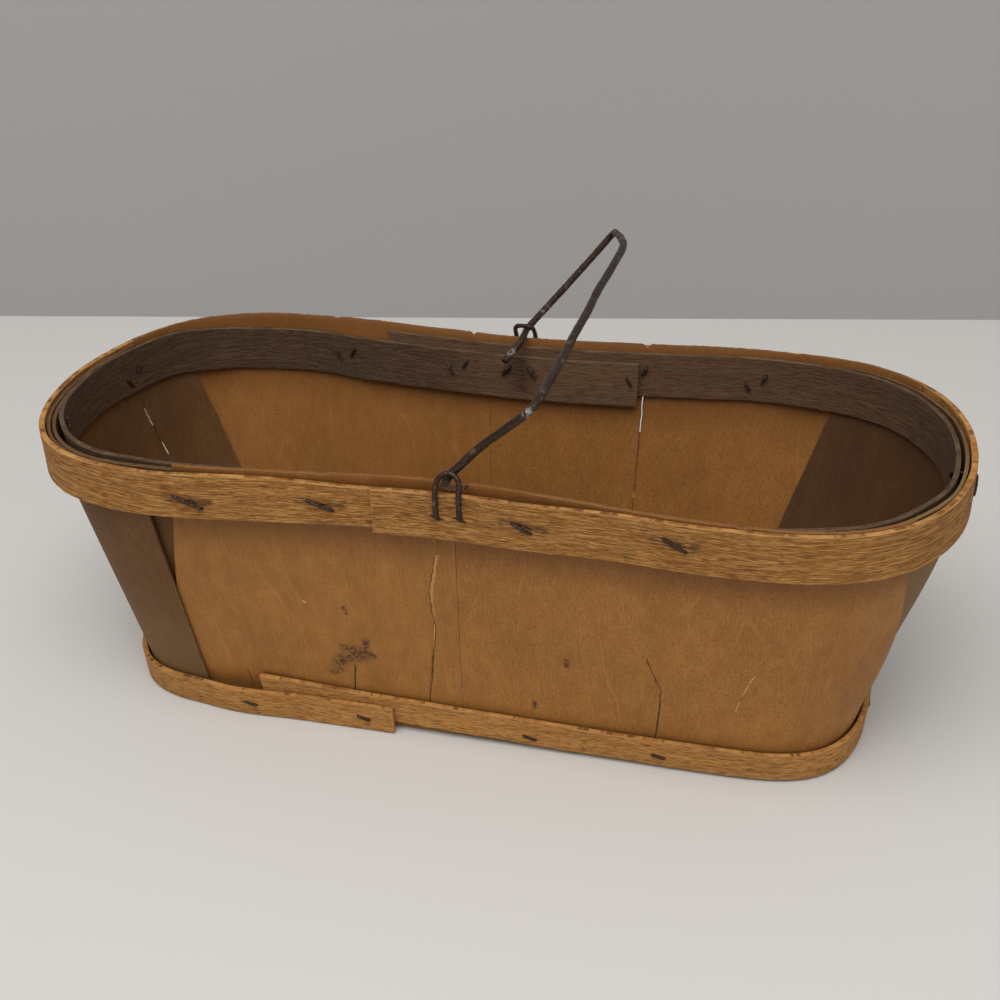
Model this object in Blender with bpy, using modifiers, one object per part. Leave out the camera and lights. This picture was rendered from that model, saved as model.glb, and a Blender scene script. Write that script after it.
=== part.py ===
"""Market basket of thin wood sheets held to a solid bottom board by stapled bands, with a wire bail.

Lengths are in metres. +Z is up, +X runs along the basket and -Y is its front. The underside of the
bottom board lies at z = 0.

A place round the basket is a turn: 0 is the middle of the front, 1 the right tip, 2 the middle of
the back, 3 the left tip and 4 the front again. Every layer of the wall is a depth outwards from one
surface, the outer face of the side sheets.
"""

import math

import bmesh
import bpy
import numpy as np
from mathutils import Matrix, Vector

# Outlines of the side sheets' outer faces, at the rim and at the floor
RIM_HALF_LENGTH = 0.1737
RIM_HALF_WIDTH = 0.0769
RIM_POWER = 7.25
BASE_HALF_LENGTH = 0.1487
BASE_HALF_WIDTH = 0.0492
BASE_POWER = 12.0
RIM_HEIGHT = 0.1213
RIM_DIP = 0.0013
RIM_PINCH = 0.0100
RIM_PINCH_SPREAD = 0.0710
WALL_FOOT_HEIGHT = 0.0060
WALL_BEND_HEIGHT = 0.0080

# The right end of the rim reaches further out than the left one
END_REACH = 0.0030
END_REACH_POWER = 4

# The bands press the sheets upright at both ends, which rounds the walls out under the rim:
# turns at which each stretch starts and ends
BULGE_SHARES = ((0.90, 1.62), (2.40, 3.10))
BULGE_RAMP_SHARE = 0.20
BULGE_DEPTH = 0.0240
BULGE_POWER = 2

# How a turn shares the outline's length and its turning, so that the corners get closer stations
TURNING_SHARE = 1 / 3
OUTLINE_SAMPLES = 1201
QUARTERS = 4
STATIONS_PER_TURN = 22
SLOPE_STEP_SHARE = 0.01

# Gap left between neighbouring pieces, and what a hole has over its wire on each side
LAYER_GAP = 0.00035
HOLE_CLEARANCE = 0.0003
CUT_OVERRUN = 0.0020

# Bottom board
BOARD_THICKNESS = 0.0095
BOARD_EDGE_ROUNDING = 0.0006

# Sheets
SHEET_THICKNESS = 0.0013
SHEET_FLOOR_GAP = 0.0006
SIDE_SHEET_RISE = 0.0017
END_SHEET_DROP = 0.0012
SEAM_GAP = 0.0004
SHEET_ROWS = 5
LINING_SHIFT_SHARE = 0.8

# Name, layer (-1 lining, 0 side, 1 wrap), turns of both edges at the rim and at the floor, and the
# share of the rise or drop that the top has at both edges
SHEET_SHARES = (
    ("side_sheet_front_left", 0, (3.664, 4.015), (3.515, 3.994), (1.0, 1.0)),
    ("side_sheet_front_right", 0, (0.015, 0.690), (-0.006, 0.950), (1.0, 0.12)),
    ("side_sheet_back_right", 0, (1.300, 2.070), (1.200, 2.055), (0.6, 1.0)),
    ("side_sheet_back_left", 0, (2.070, 2.840), (2.055, 2.720), (1.0, 1.0)),
    ("end_lining_left", -1, (2.725, 3.720), (2.457, 3.600), (1.0, 1.0)),
    ("end_lining_right", -1, (0.550, 1.510), (0.550, 1.665), (1.0, 1.0)),
    ("end_wrap_left", 1, (2.660, 3.600), (2.620, 3.585), (1.0, 1.0)),
)

# Bands: each is one strip bent round, whose last stretch laps over its start
OUTER_BAND_HEIGHT = 0.0180
OUTER_BAND_THICKNESS = 0.0022
OUTER_BAND_LAP_DROP = 0.0010
OUTER_BAND_START_DROP = 0.0022
OUTER_BAND_UPRIGHT_SHARE = 0.9
INNER_BAND_HEIGHT = 0.0190
INNER_BAND_THICKNESS = 0.0018
INNER_BAND_DROP = 0.0046
INNER_BAND_UPRIGHT_SHARE = 0.45
HOOP_HEIGHT = 0.0120
HOOP_THICKNESS = 0.0022
HOOP_FLOOR_GAP = 0.0004
HOOP_START_LIFT = 0.0075
HOOP_STAND = 0.0005

# Name, first turn, direction round, length in turns (over 4 by its lap)
OUTER_BAND_SHARES = ("outer_top_band", 4.090, -1, 4.180)
INNER_BAND_SHARES = ("inner_top_band", 2.221, -1, 4.382)
HOOP_SHARES = ("bottom_hoop", 3.692, 1, 4.203)
HOOP_SETTLE_SHARE = 0.30
LAP_RAMP_SHARE = 0.14
SHEET_EDGE_SHARE = 0.03
SHEET_RAMP_SHARE = 0.14

# Turns along the inner band and the share of its drop under the rim that its top has there
INNER_BAND_DROP_SHARES = (
    (0.0, 0.13),
    (0.6, 0.22),
    (1.22, 0.35),
    (2.2, 0.43),
    (3.1, -0.22),
    (3.4, -0.09),
    (3.8, 0.91),
    (4.4, 1.0),
)

# Staples through the bands, clinched inside: turn, height below the rim as a share of the band's
# height, slope of the crown in degrees, and its length as a share of the usual one
BAND_STAPLE_CROWN = 0.0092
BAND_STAPLE_WIRE = 0.0013
BAND_STAPLE_TAIL = 0.0038
BAND_STAPLE_BEND = 0.0008
BAND_STAPLE_TAIL_SLOPE = 58
BAND_STAPLE_SHARES = (
    (3.685, 0.61, 24, 1.24),
    (3.847, 0.52, 22, 1.07),
    (0.110, 0.50, 25, 0.80),
    (0.281, 0.43, 28, 0.96),
    (0.962, 0.48, 80, 1.0),
    (1.678, 0.56, 24, 1.0),
    (1.843, 0.50, 25, 1.0),
    (2.110, 0.55, 20, 1.0),
    (2.286, 0.60, 15, 1.0),
    (2.886, 0.50, 30, 1.0),
    (3.200, 0.40, 72, 1.0),
)

# Small staples through the hoop into the board: turn and slope of the crown in degrees
HOOP_STAPLE_CROWN = 0.0050
HOOP_STAPLE_WIRE = 0.0011
HOOP_STAPLE_BITE = 0.0060
HOOP_STAPLE_BEND = 0.0007
HOOP_STAPLE_HEIGHT = 0.0062
HOOP_STAPLE_SHARES = (
    (3.673, 12),
    (3.850, 14),
    (0.097, 14),
    (0.281, 12),
    (1.000, 10),
    (1.730, 12),
    (1.900, 10),
    (2.110, 14),
    (2.280, 12),
    (3.000, 10),
)

# Bail of round wire through two wire eyes that sit slightly off the middle and lean inwards: its
# front end stops just outside its eye, its rear end is hooked down inside
BAIL_WIRE = 0.0029
BAIL_LEAN = 42.0
BAIL_REACH = 0.0672
BAIL_SHIFT = 0.0032
BAIL_FRONT_FOOT_RADIUS = 0.0020
BAIL_FRONT_END = 0.0016
BAIL_REAR_FOOT_RADIUS = 0.0034
BAIL_HOOK_RADIUS = 0.0030
BAIL_TAIL_REACH = 0.0095
BAIL_TAIL_DROP = 0.0080
BAIL_RUNNING_GAP = 0.0005
EYE_SHIFT = 0.0038
EYE_WIRE = 0.0019
EYE_WIDTH = 0.0084
EYE_LEG_DROP = 0.0090
EYE_LEAN = 0.0036
EYE_BEND = 0.0016
EYE_TAIL = 0.0045
EYE_TAIL_SLOPE = 50
EYE_NOTCH_WIDTH = 0.0060
EYE_NOTCH_DEPTH = 0.0010

# Corners of the bail as it is bent, front to back: place along the axis as a share of half its span,
# distance from the axis and radius of the bend as shares of its reach
BAIL_CORNER_SHARES = (
    (-0.926, 0.287, 0.530),
    (-1.215, 0.763, 0.063),
    (0.581, 1.000, 0.707),
    (1.261, 0.763, 0.064),
)

# Fineness of wires and cuts
WIRE_BEVEL_RESOLUTION = 1
BAIL_BEVEL_RESOLUTION = 2
BEND_STEPS = 2
BAIL_BEND_STEPS = 6
HOLE_SIDES = 8
ARCH_STEPS = 8
SMOOTH_ANGLE = 40

COLLECTION_NAME = "wooden_basket"

# Colours as linear RGB, with roughness and metallic
FINISHES = {
    "side_sheet_wood": ((0.270, 0.110, 0.032), 0.62, 0.0),
    "end_sheet_wood": ((0.105, 0.067, 0.040), 0.70, 0.0),
    "band_wood": ((0.330, 0.150, 0.050), 0.65, 0.0),
    "inner_band_wood": ((0.085, 0.058, 0.038), 0.72, 0.0),
    "board_wood": ((0.250, 0.120, 0.045), 0.70, 0.0),
    "staple_wire": ((0.045, 0.033, 0.028), 0.45, 0.9),
    "bail_wire": ((0.055, 0.042, 0.036), 0.40, 0.9),
}


def smooth_step(share):
    share = np.clip(share, 0.0, 1.0)
    return share * share * (3 - 2 * share)


def quarter_outline(half_length, half_width, power, pinch):
    """A quarter of an outline from the middle of a long side to the tip: x, y and turn."""
    run = np.linspace(0.0, 1.0, OUTLINE_SAMPLES)
    x = half_length * (1 - (1 - run) ** 2)
    y = half_width * np.sqrt(np.maximum(1 - (x / half_length) ** power, 0.0))
    y = y * (1 - pinch / half_width * np.exp(-((x / RIM_PINCH_SPREAD) ** 2)))
    step_x, step_y = np.diff(x), np.diff(y)
    length = np.concatenate([[0.0], np.cumsum(np.hypot(step_x, step_y))])
    heading = np.arctan2(-step_y, step_x)
    heading = np.concatenate([[0.0], (heading[1:] + heading[:-1]) / 2, [math.pi / 2]])
    turning = np.concatenate([[0.0], np.cumsum(np.abs(np.diff(heading)))])
    turn = (1 - TURNING_SHARE) * length / length[-1] + TURNING_SHARE * turning / turning[-1]
    return x, y, turn


RIM_OUTLINE = quarter_outline(RIM_HALF_LENGTH, RIM_HALF_WIDTH, RIM_POWER, RIM_PINCH)
BASE_OUTLINE = quarter_outline(BASE_HALF_LENGTH, BASE_HALF_WIDTH, BASE_POWER, 0.0)


def outline_point(outline, turn):
    """The point of a whole outline at a turn, mirrored from its quarter."""
    turn = turn % QUARTERS
    quarter = int(turn)
    along = turn - quarter
    if quarter % 2:
        along = 1 - along
    x = float(np.interp(along, outline[2], outline[0]))
    y = float(np.interp(along, outline[2], outline[1]))
    return Vector((x if quarter < 2 else -x, -y if quarter in (0, 3) else y))


def flare(z):
    """Share of the way from the base outline to the rim outline: upright at the board, then bent out."""
    rate = 1 / (RIM_HEIGHT - WALL_FOOT_HEIGHT - WALL_BEND_HEIGHT / 2)
    above = z - WALL_FOOT_HEIGHT
    bent = min(max(above, 0.0), WALL_BEND_HEIGHT)
    return rate * (bent * bent / (2 * WALL_BEND_HEIGHT) + max(above - WALL_BEND_HEIGHT, 0.0))


def plan_point(turn, z):
    rim = outline_point(RIM_OUTLINE, turn)
    rim.x += END_REACH * (max(rim.x, 0.0) / RIM_HALF_LENGTH) ** END_REACH_POWER
    return outline_point(BASE_OUTLINE, turn).lerp(rim, flare(z))


def outward(turn, z):
    """The level direction out of the wall."""
    along = plan_point(turn + SLOPE_STEP_SHARE, z) - plan_point(turn - SLOPE_STEP_SHARE, z)
    return Vector((along.y, -along.x, 0.0)).normalized()


def beyond(turn, start, end):
    """How far a turn lies outside a stretch, below zero inside it."""
    return abs((turn - (start + end) / 2 + QUARTERS / 2) % QUARTERS - QUARTERS / 2) - (end - start) / 2


def bulge(turn, z):
    """How far the wall is rounded out at the ends."""
    reach = max(1 - beyond(turn, start, end) / BULGE_RAMP_SHARE for start, end in BULGE_SHARES)
    share = min(flare(z), 1.0)
    return BULGE_DEPTH * float(smooth_step(reach)) * share**BULGE_POWER * (1 - share)


def wall_point(turn, z, depth):
    """The point at a depth outwards from the side sheets' outer face."""
    plan = plan_point(turn, z)
    return Vector((plan.x, plan.y, z)) + outward(turn, z) * (depth + bulge(turn, z))


def rim_drop(turn):
    """How far the rim lies below its height at the eyes."""
    return RIM_DIP * (outline_point(RIM_OUTLINE, turn).x / RIM_HALF_LENGTH) ** 2


def turns_per_metre(turn, z):
    """Turns in a metre along the wall, to move a place by a real distance."""
    chord = plan_point(turn + SLOPE_STEP_SHARE, z) - plan_point(turn - SLOPE_STEP_SHARE, z)
    return 2 * SLOPE_STEP_SHARE / chord.length


def sheet_edges(rim, base, up):
    """Turns of a sheet's edges at a share of the rim's height."""
    return base[0] + (rim[0] - base[0]) * up, base[1] + (rim[1] - base[1]) * up


def sheet_cover(layer, turn, up):
    """1 where a sheet of the layer lies at a share of the rim's height, easing to 0 past its edges."""
    cover = 0.0
    for _, sheet_layer, rim, base, _ in SHEET_SHARES:
        if sheet_layer == layer:
            away = beyond(turn, *sheet_edges(rim, base, up)) - SHEET_EDGE_SHARE
            cover = max(cover, float(smooth_step(1 - away / SHEET_RAMP_SHARE)))
    return cover


def side_place(turn, up):
    """Share of a side sheet's place that is kept outside a lining, which moves out past the sheet."""
    return 1 - LINING_SHIFT_SHARE * (1 - sheet_cover(0, turn, up))


def sheet_depth(layer, turn, z):
    """Depth of the middle of a sheet's thickness."""
    place = layer if layer >= 0 else layer * side_place(turn, z / RIM_HEIGHT)
    return place * (SHEET_THICKNESS + LAYER_GAP) - SHEET_THICKNESS / 2


def outer_base(turn, up):
    """Depth at which a band may start outside the sheets."""
    return LAYER_GAP + (SHEET_THICKNESS + LAYER_GAP) * sheet_cover(1, turn, up)


def inner_base(turn, up):
    """Depth at which a band or the board may start inside the sheets."""
    layers = side_place(turn, up) + sheet_cover(-1, turn, up)
    return -(SHEET_THICKNESS + LAYER_GAP) * layers


def strip_turn(shares, progress):
    _, start, direction, _ = shares
    return start + direction * progress


def lap_lift(progress):
    """0 on a strip's first round, easing to 1 before it laps over its own start."""
    return float(smooth_step((progress - (QUARTERS - LAP_RAMP_SHARE)) / LAP_RAMP_SHARE))


def eased(knots, at):
    """A value that eases from each knot to the next."""
    value = knots[0][1]
    for (near, low), (far, high) in zip(knots, knots[1:]):
        value += (high - low) * float(smooth_step((at - near) / (far - near)))
    return value


def last_progress(shares, turn):
    """How far along the strip its outermost round passes a turn."""
    _, start, direction, length = shares
    progress = ((turn - start) * direction) % QUARTERS
    return progress + QUARTERS if progress + QUARTERS <= length else progress


def upright_point(turn, z, held_z, depth, upright_share, side):
    """A point of a strip held to the wall at held_z, which stands more upright than the wall.

    The strip lies outside the wall (side 1) or inside it (side -1), so where the wall leans towards
    the strip, the strip leans with it.
    """
    lying = wall_point(turn, z, depth)
    plumb = wall_point(turn, held_z, depth)
    plumb.z = z
    if (plumb - lying).dot(outward(turn, z)) * side < 0:
        return lying
    return plumb * upright_share + lying * (1 - upright_share)


def outer_band_point(progress, up, through):
    """A point of the outer band: up is 0 to 1 over its height, through 0 to 1 over its thickness."""
    turn = strip_turn(OUTER_BAND_SHARES, progress)
    lift = lap_lift(progress)
    top = RIM_HEIGHT - rim_drop(turn) - OUTER_BAND_LAP_DROP * lift
    depth = outer_base(turn, 1.0) + lift * (OUTER_BAND_THICKNESS + LAYER_GAP)
    depth += through * OUTER_BAND_THICKNESS
    covered = OUTER_BAND_SHARES[3] - QUARTERS + LAP_RAMP_SHARE
    under = float(smooth_step((covered - progress) / LAP_RAMP_SHARE))
    z = top - (1 - up) * OUTER_BAND_HEIGHT - up * under * OUTER_BAND_START_DROP
    return upright_point(turn, z, top, depth, OUTER_BAND_UPRIGHT_SHARE, 1)


def inner_band_point(progress, up, through):
    """A point of the inner band: through grows inwards."""
    turn = strip_turn(INNER_BAND_SHARES, progress)
    drop = INNER_BAND_DROP * eased(INNER_BAND_DROP_SHARES, progress)
    top = RIM_HEIGHT - rim_drop(turn) - drop
    foot = top - INNER_BAND_HEIGHT
    depth = inner_base(turn, foot / RIM_HEIGHT)
    depth -= lap_lift(progress) * (INNER_BAND_THICKNESS + LAYER_GAP)
    depth -= through * INNER_BAND_THICKNESS
    z = foot + up * INNER_BAND_HEIGHT
    return upright_point(turn, z, foot, depth, INNER_BAND_UPRIGHT_SHARE, -1)


def hoop_point(progress, up, through):
    """A point of the hoop round the board, whose first stretch slipped upwards."""
    turn = strip_turn(HOOP_SHARES, progress)
    foot = HOOP_FLOOR_GAP + HOOP_START_LIFT * math.exp(-progress / HOOP_SETTLE_SHARE)
    depth = outer_base(turn, 0.0) + lap_lift(progress) * (HOOP_THICKNESS + LAYER_GAP)
    depth += through * HOOP_THICKNESS
    low = wall_point(turn, foot, depth)
    high = wall_point(turn, foot + HOOP_HEIGHT, depth + HOOP_STAND)
    return low.lerp(high, up)


def clear_scene():
    for obj in list(bpy.data.objects):
        bpy.data.objects.remove(obj, do_unlink=True)


def new_collection(name):
    collection = bpy.data.collections.new(name)
    bpy.context.scene.collection.children.link(collection)
    return collection


def own_material(name, finish):
    """A piece's own material, from the finish that it shares with its like."""
    colour, roughness, metallic = FINISHES[finish]
    material = bpy.data.materials.new(name + "_finish")
    material.use_nodes = True
    shader = material.node_tree.nodes["Principled BSDF"]
    shader.inputs["Base Color"].default_value = (*colour, 1.0)
    shader.inputs["Roughness"].default_value = roughness
    shader.inputs["Metallic"].default_value = metallic
    material.diffuse_color = (*colour, 1.0)
    return material


def add_object(name, data, finish, collection):
    obj = bpy.data.objects.new(name, data)
    collection.objects.link(obj)
    data.materials.append(own_material(name, finish))
    return obj


def add_strip(name, columns, rows, place, thickness, finish, collection):
    """A thin strip: a grid laid on the surface place(u, v), thickened both ways."""
    shape = bmesh.new()
    bmesh.ops.create_grid(shape, x_segments=columns, y_segments=rows, size=1.0)
    for vertex in shape.verts:
        vertex.co = place((vertex.co.x + 1) / 2, (vertex.co.y + 1) / 2)
    mesh = bpy.data.meshes.new(name)
    shape.to_mesh(mesh)
    shape.free()
    obj = add_object(name, mesh, finish, collection)
    mesh.shade_smooth()
    mesh.set_sharp_from_angle(angle=math.radians(SMOOTH_ANGLE))
    shell = obj.modifiers.new("thickness", "SOLIDIFY")
    shell.thickness = thickness
    shell.offset = 0.0
    shell.use_even_offset = True
    return obj


def sheet_heights():
    """Heights of a sheet's rows: close together where the wall bends, then up to the inner band."""
    bend_end = WALL_FOOT_HEIGHT + WALL_BEND_HEIGHT
    band_foot = RIM_HEIGHT - INNER_BAND_HEIGHT - INNER_BAND_DROP / 2
    heights = [SHEET_FLOOR_GAP, WALL_FOOT_HEIGHT, WALL_FOOT_HEIGHT + WALL_BEND_HEIGHT / 2]
    for row in range(SHEET_ROWS + 1):
        heights.append(bend_end + (band_foot - bend_end) * row / SHEET_ROWS)
    return heights + [RIM_HEIGHT]


def add_sheet(name, layer, rim, base, rises, collection):
    """One wood sheet between two slanting edges, pulled back from its neighbours at the seams."""
    rise = SIDE_SHEET_RISE if layer == 0 else -END_SHEET_DROP
    heights = sheet_heights()
    rows = len(heights) - 1
    columns = math.ceil((rim[1] - rim[0]) * STATIONS_PER_TURN)

    def place(u, v):
        row = round(v * rows)
        z = heights[row]
        up = z / RIM_HEIGHT
        start, end = sheet_edges(rim, base, up)
        start += SEAM_GAP / 2 * turns_per_metre(start, z)
        end -= SEAM_GAP / 2 * turns_per_metre(end, z)
        turn = start + (end - start) * u
        z -= rim_drop(turn) * up
        if row == rows:
            z += rise * (rises[0] + (rises[1] - rises[0]) * u)
        return wall_point(turn, z, sheet_depth(layer, turn, z))

    finish = "side_sheet_wood" if layer == 0 else "end_sheet_wood"
    return add_strip(name, columns, rows, place, SHEET_THICKNESS, finish, collection)


def add_band(shares, point, thickness, finish, collection):
    """A band as one strip, from its start under the lap to its end over it."""
    name, _, direction, length = shares
    columns = math.ceil(length * STATIONS_PER_TURN)

    def place(u, v):
        progress = length * (u if direction > 0 else 1 - u)
        return point(progress, v, 1 / 2)

    return add_strip(name, columns, 1, place, thickness, finish, collection)


def curve_object(name, points, depth, resolution, finish, collection):
    """A wire along the points, with round section and closed ends."""
    curve = bpy.data.curves.new(name, "CURVE")
    curve.dimensions = "3D"
    curve.bevel_depth = depth
    curve.bevel_resolution = resolution
    curve.use_fill_caps = True
    spline = curve.splines.new("POLY")
    spline.points.add(len(points) - 1)
    for target, point in zip(spline.points, points):
        target.co = (*point, 1.0)
        target.radius = 1.0
    spline.use_smooth = True
    return add_object(name, curve, finish, collection)


def rounded(points, radii, steps):
    """The polyline with its inner corners turned into arcs."""
    out = [points[0]]
    for before, corner, after, radius in zip(points, points[1:], points[2:], radii):
        back = (before - corner).normalized()
        ahead = (after - corner).normalized()
        half_angle = back.angle(ahead) / 2
        reach = min(radius / math.tan(half_angle), (before - corner).length, (after - corner).length)
        used = reach * math.tan(half_angle)
        centre = corner + (back + ahead).normalized() * (used / math.sin(half_angle))
        first = corner + back * reach - centre
        last = corner + ahead * reach - centre
        sweep = first.angle(last)
        for step in range(steps + 1):
            share = step / steps
            arm = first * math.sin((1 - share) * sweep) + last * math.sin(share * sweep)
            out.append(centre + arm / math.sin(sweep))
    out.append(points[-1])
    return out


def add_pin_hole(cutter, start, end, radius):
    """A closed rod in the cutter's mesh, from start to end."""
    along = end - start
    turn = along.to_track_quat("Z", "Y").to_matrix().to_4x4()
    matrix = Matrix.Translation((start + end) / 2) @ turn
    bmesh.ops.create_cone(
        cutter,
        cap_ends=True,
        segments=HOLE_SIDES,
        radius1=radius,
        radius2=radius,
        depth=along.length,
        matrix=matrix,
    )


def staple_frame(turn, z, slope):
    """Outward direction and crown direction of a staple."""
    out = outward(turn, z)
    level = Vector((-out.y, out.x, 0.0))
    angle = math.radians(slope)
    crown = level * math.cos(angle) - Vector((0.0, 0.0, math.sin(angle)))
    return out, crown


def add_wire_piece(name, points, wire, resolution, finish, collection):
    """A wire piece with its origin at its middle point."""
    seat = points[len(points) // 2]
    local = [point - seat for point in points]
    obj = curve_object(name, local, wire / 2, resolution, finish, collection)
    obj.location = seat
    return obj


def inner_face_inset(turn, z, start, out):
    """How far inwards of start the inner band's inner face lies, level with it."""
    progress = last_progress(INNER_BAND_SHARES, turn)
    foot = inner_band_point(progress, 0.0, 1.0)
    top = inner_band_point(progress, 1.0, 1.0)
    up = (z - foot.z) / (top.z - foot.z)
    face = foot.lerp(top, up)
    return (start - face).dot(out)


def add_band_staple(index, turn, drop_share, slope, crown_share, cutter, collection):
    """A staple whose crown lies on the outer band and whose legs are clinched inside."""
    reach = BAND_STAPLE_WIRE / 2 + LAYER_GAP
    progress = last_progress(OUTER_BAND_SHARES, turn)
    middle = outer_band_point(progress, 1 - drop_share, 1.0)
    out, crown = staple_frame(turn, middle.z, slope)
    level = Vector((-out.y, out.x, 0.0))
    middle += out * reach
    sides = []
    for side in (-1, 1):
        corner = middle + crown * (side * BAND_STAPLE_CROWN * crown_share / 2)
        near = turn + level.dot(corner - middle) * turns_per_metre(turn, corner.z)
        inset = inner_face_inset(near, corner.z, corner, out) + reach
        inside = corner - out * inset
        angle = math.radians(BAND_STAPLE_TAIL_SLOPE)
        fold = level * (-side * math.cos(angle)) - Vector((0.0, 0.0, math.sin(angle)))
        tip = inside + fold * BAND_STAPLE_TAIL
        tip_turn = near + level.dot(tip - inside) * turns_per_metre(near, tip.z)
        tip -= out * (inner_face_inset(tip_turn, tip.z, tip, out) + reach)
        add_pin_hole(
            cutter,
            corner + out * CUT_OVERRUN,
            inside - out * CUT_OVERRUN,
            BAND_STAPLE_WIRE / 2 + HOLE_CLEARANCE,
        )
        sides.append([tip, inside, corner])
    points = sides[0] + sides[1][::-1]
    path = rounded(points, [BAND_STAPLE_BEND] * (len(points) - 2), BEND_STEPS)
    name = f"band_staple_{index:02d}"
    return add_wire_piece(
        name, path, BAND_STAPLE_WIRE, WIRE_BEVEL_RESOLUTION, "staple_wire", collection
    )


def add_hoop_staple(index, turn, slope, cutter, collection):
    """A small staple through the hoop and the sheets into the board's edge."""
    reach = HOOP_STAPLE_WIRE / 2 + LAYER_GAP
    progress = last_progress(HOOP_SHARES, turn)
    foot = hoop_point(progress, 0.0, 1.0)
    top = hoop_point(progress, 1.0, 1.0)
    up = (HOOP_STAPLE_HEIGHT - foot.z) / (top.z - foot.z)
    middle = foot.lerp(top, up)
    out, crown = staple_frame(turn, middle.z, slope)
    middle += out * reach
    bottom = wall_point(turn, middle.z, inner_base(turn, 0.0) - HOOP_STAPLE_BITE)
    depth = (middle - bottom).dot(out)
    corners = [middle + crown * (side * HOOP_STAPLE_CROWN / 2) for side in (-1, 1)]
    tips = [corner - out * depth for corner in corners]
    for corner, tip in zip(corners, tips):
        add_pin_hole(
            cutter,
            corner + out * CUT_OVERRUN,
            tip - out * HOLE_CLEARANCE,
            HOOP_STAPLE_WIRE / 2 + HOLE_CLEARANCE,
        )
    points = [tips[0], corners[0], corners[1], tips[1]]
    path = rounded(points, [HOOP_STAPLE_BEND] * (len(points) - 2), BEND_STEPS)
    name = f"hoop_staple_{index:02d}"
    return add_wire_piece(
        name, path, HOOP_STAPLE_WIRE, WIRE_BEVEL_RESOLUTION, "staple_wire", collection
    )


def shifted_turn(side, shift):
    """The turn at a distance off the middle of a long side: side is -1 in front, 1 at the back."""
    middle = 0.0 if side < 0 else QUARTERS / 2
    return middle + shift * turns_per_metre(middle, RIM_HEIGHT)


def eye_seat(side, shift):
    """A point of an eye's leg plane at the top of the outer band, and the outward direction."""
    turn = shifted_turn(side, shift)
    top = outer_band_point(last_progress(OUTER_BAND_SHARES, turn), 1.0, 1.0)
    out = outward(turn, RIM_HEIGHT)
    return top + out * (LAYER_GAP + EYE_WIRE / 2), out


def axis_height():
    """Height of the bail's axis: its wire runs just over the side sheets' tops."""
    return RIM_HEIGHT + SIDE_SHEET_RISE + LAYER_GAP + BAIL_WIRE / 2


def add_eye(name, side, cutter, collection):
    """A wire eye: an arch over the bail, with two legs through the bands clinched inside."""
    seat, out = eye_seat(side, EYE_SHIFT)
    turn = shifted_turn(side, EYE_SHIFT)
    level = Vector((-out.y, out.x, 0.0))
    half = EYE_WIDTH / 2
    arch_top = axis_height() + BAIL_WIRE / 2 + BAIL_RUNNING_GAP + EYE_WIRE / 2
    spring = arch_top - half
    bent = seat.z + EYE_WIRE / 4
    lean = out * (EYE_LEAN / (arch_top - bent))
    leg_foot = seat.z - EYE_LEG_DROP
    reach = EYE_WIRE / 2 + LAYER_GAP
    legs = []
    for hand in (-1, 1):
        corner = seat + level * (hand * half)
        corner.z = leg_foot
        near = turn + hand * half * turns_per_metre(turn, leg_foot)
        inside = corner - out * (inner_face_inset(near, leg_foot, corner, out) + reach)
        angle = math.radians(EYE_TAIL_SLOPE)
        fold = level * (hand * math.cos(angle)) - Vector((0.0, 0.0, math.sin(angle)))
        tip = inside + fold * EYE_TAIL
        tip_turn = near + level.dot(tip - inside) * turns_per_metre(near, tip.z)
        tip -= out * (inner_face_inset(tip_turn, tip.z, tip, out) + reach)
        add_pin_hole(
            cutter,
            corner + out * CUT_OVERRUN,
            inside - out * CUT_OVERRUN,
            EYE_WIRE / 2 + HOLE_CLEARANCE,
        )
        over = corner.copy()
        over.z = bent
        top = corner - lean * (spring - bent)
        top.z = spring
        path = rounded([tip, inside, corner, over, top], [EYE_BEND] * 3, BEND_STEPS)
        legs.append(path)
    arch = []
    for step in range(1, ARCH_STEPS):
        angle = math.pi * step / ARCH_STEPS
        point = seat - level * (half * math.cos(angle))
        point.z = spring + half * math.sin(angle)
        arch.append(point - lean * (point.z - bent))
    path = legs[0] + arch + legs[1][::-1]
    return add_wire_piece(name, path, EYE_WIRE, WIRE_BEVEL_RESOLUTION, "staple_wire", collection)


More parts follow.
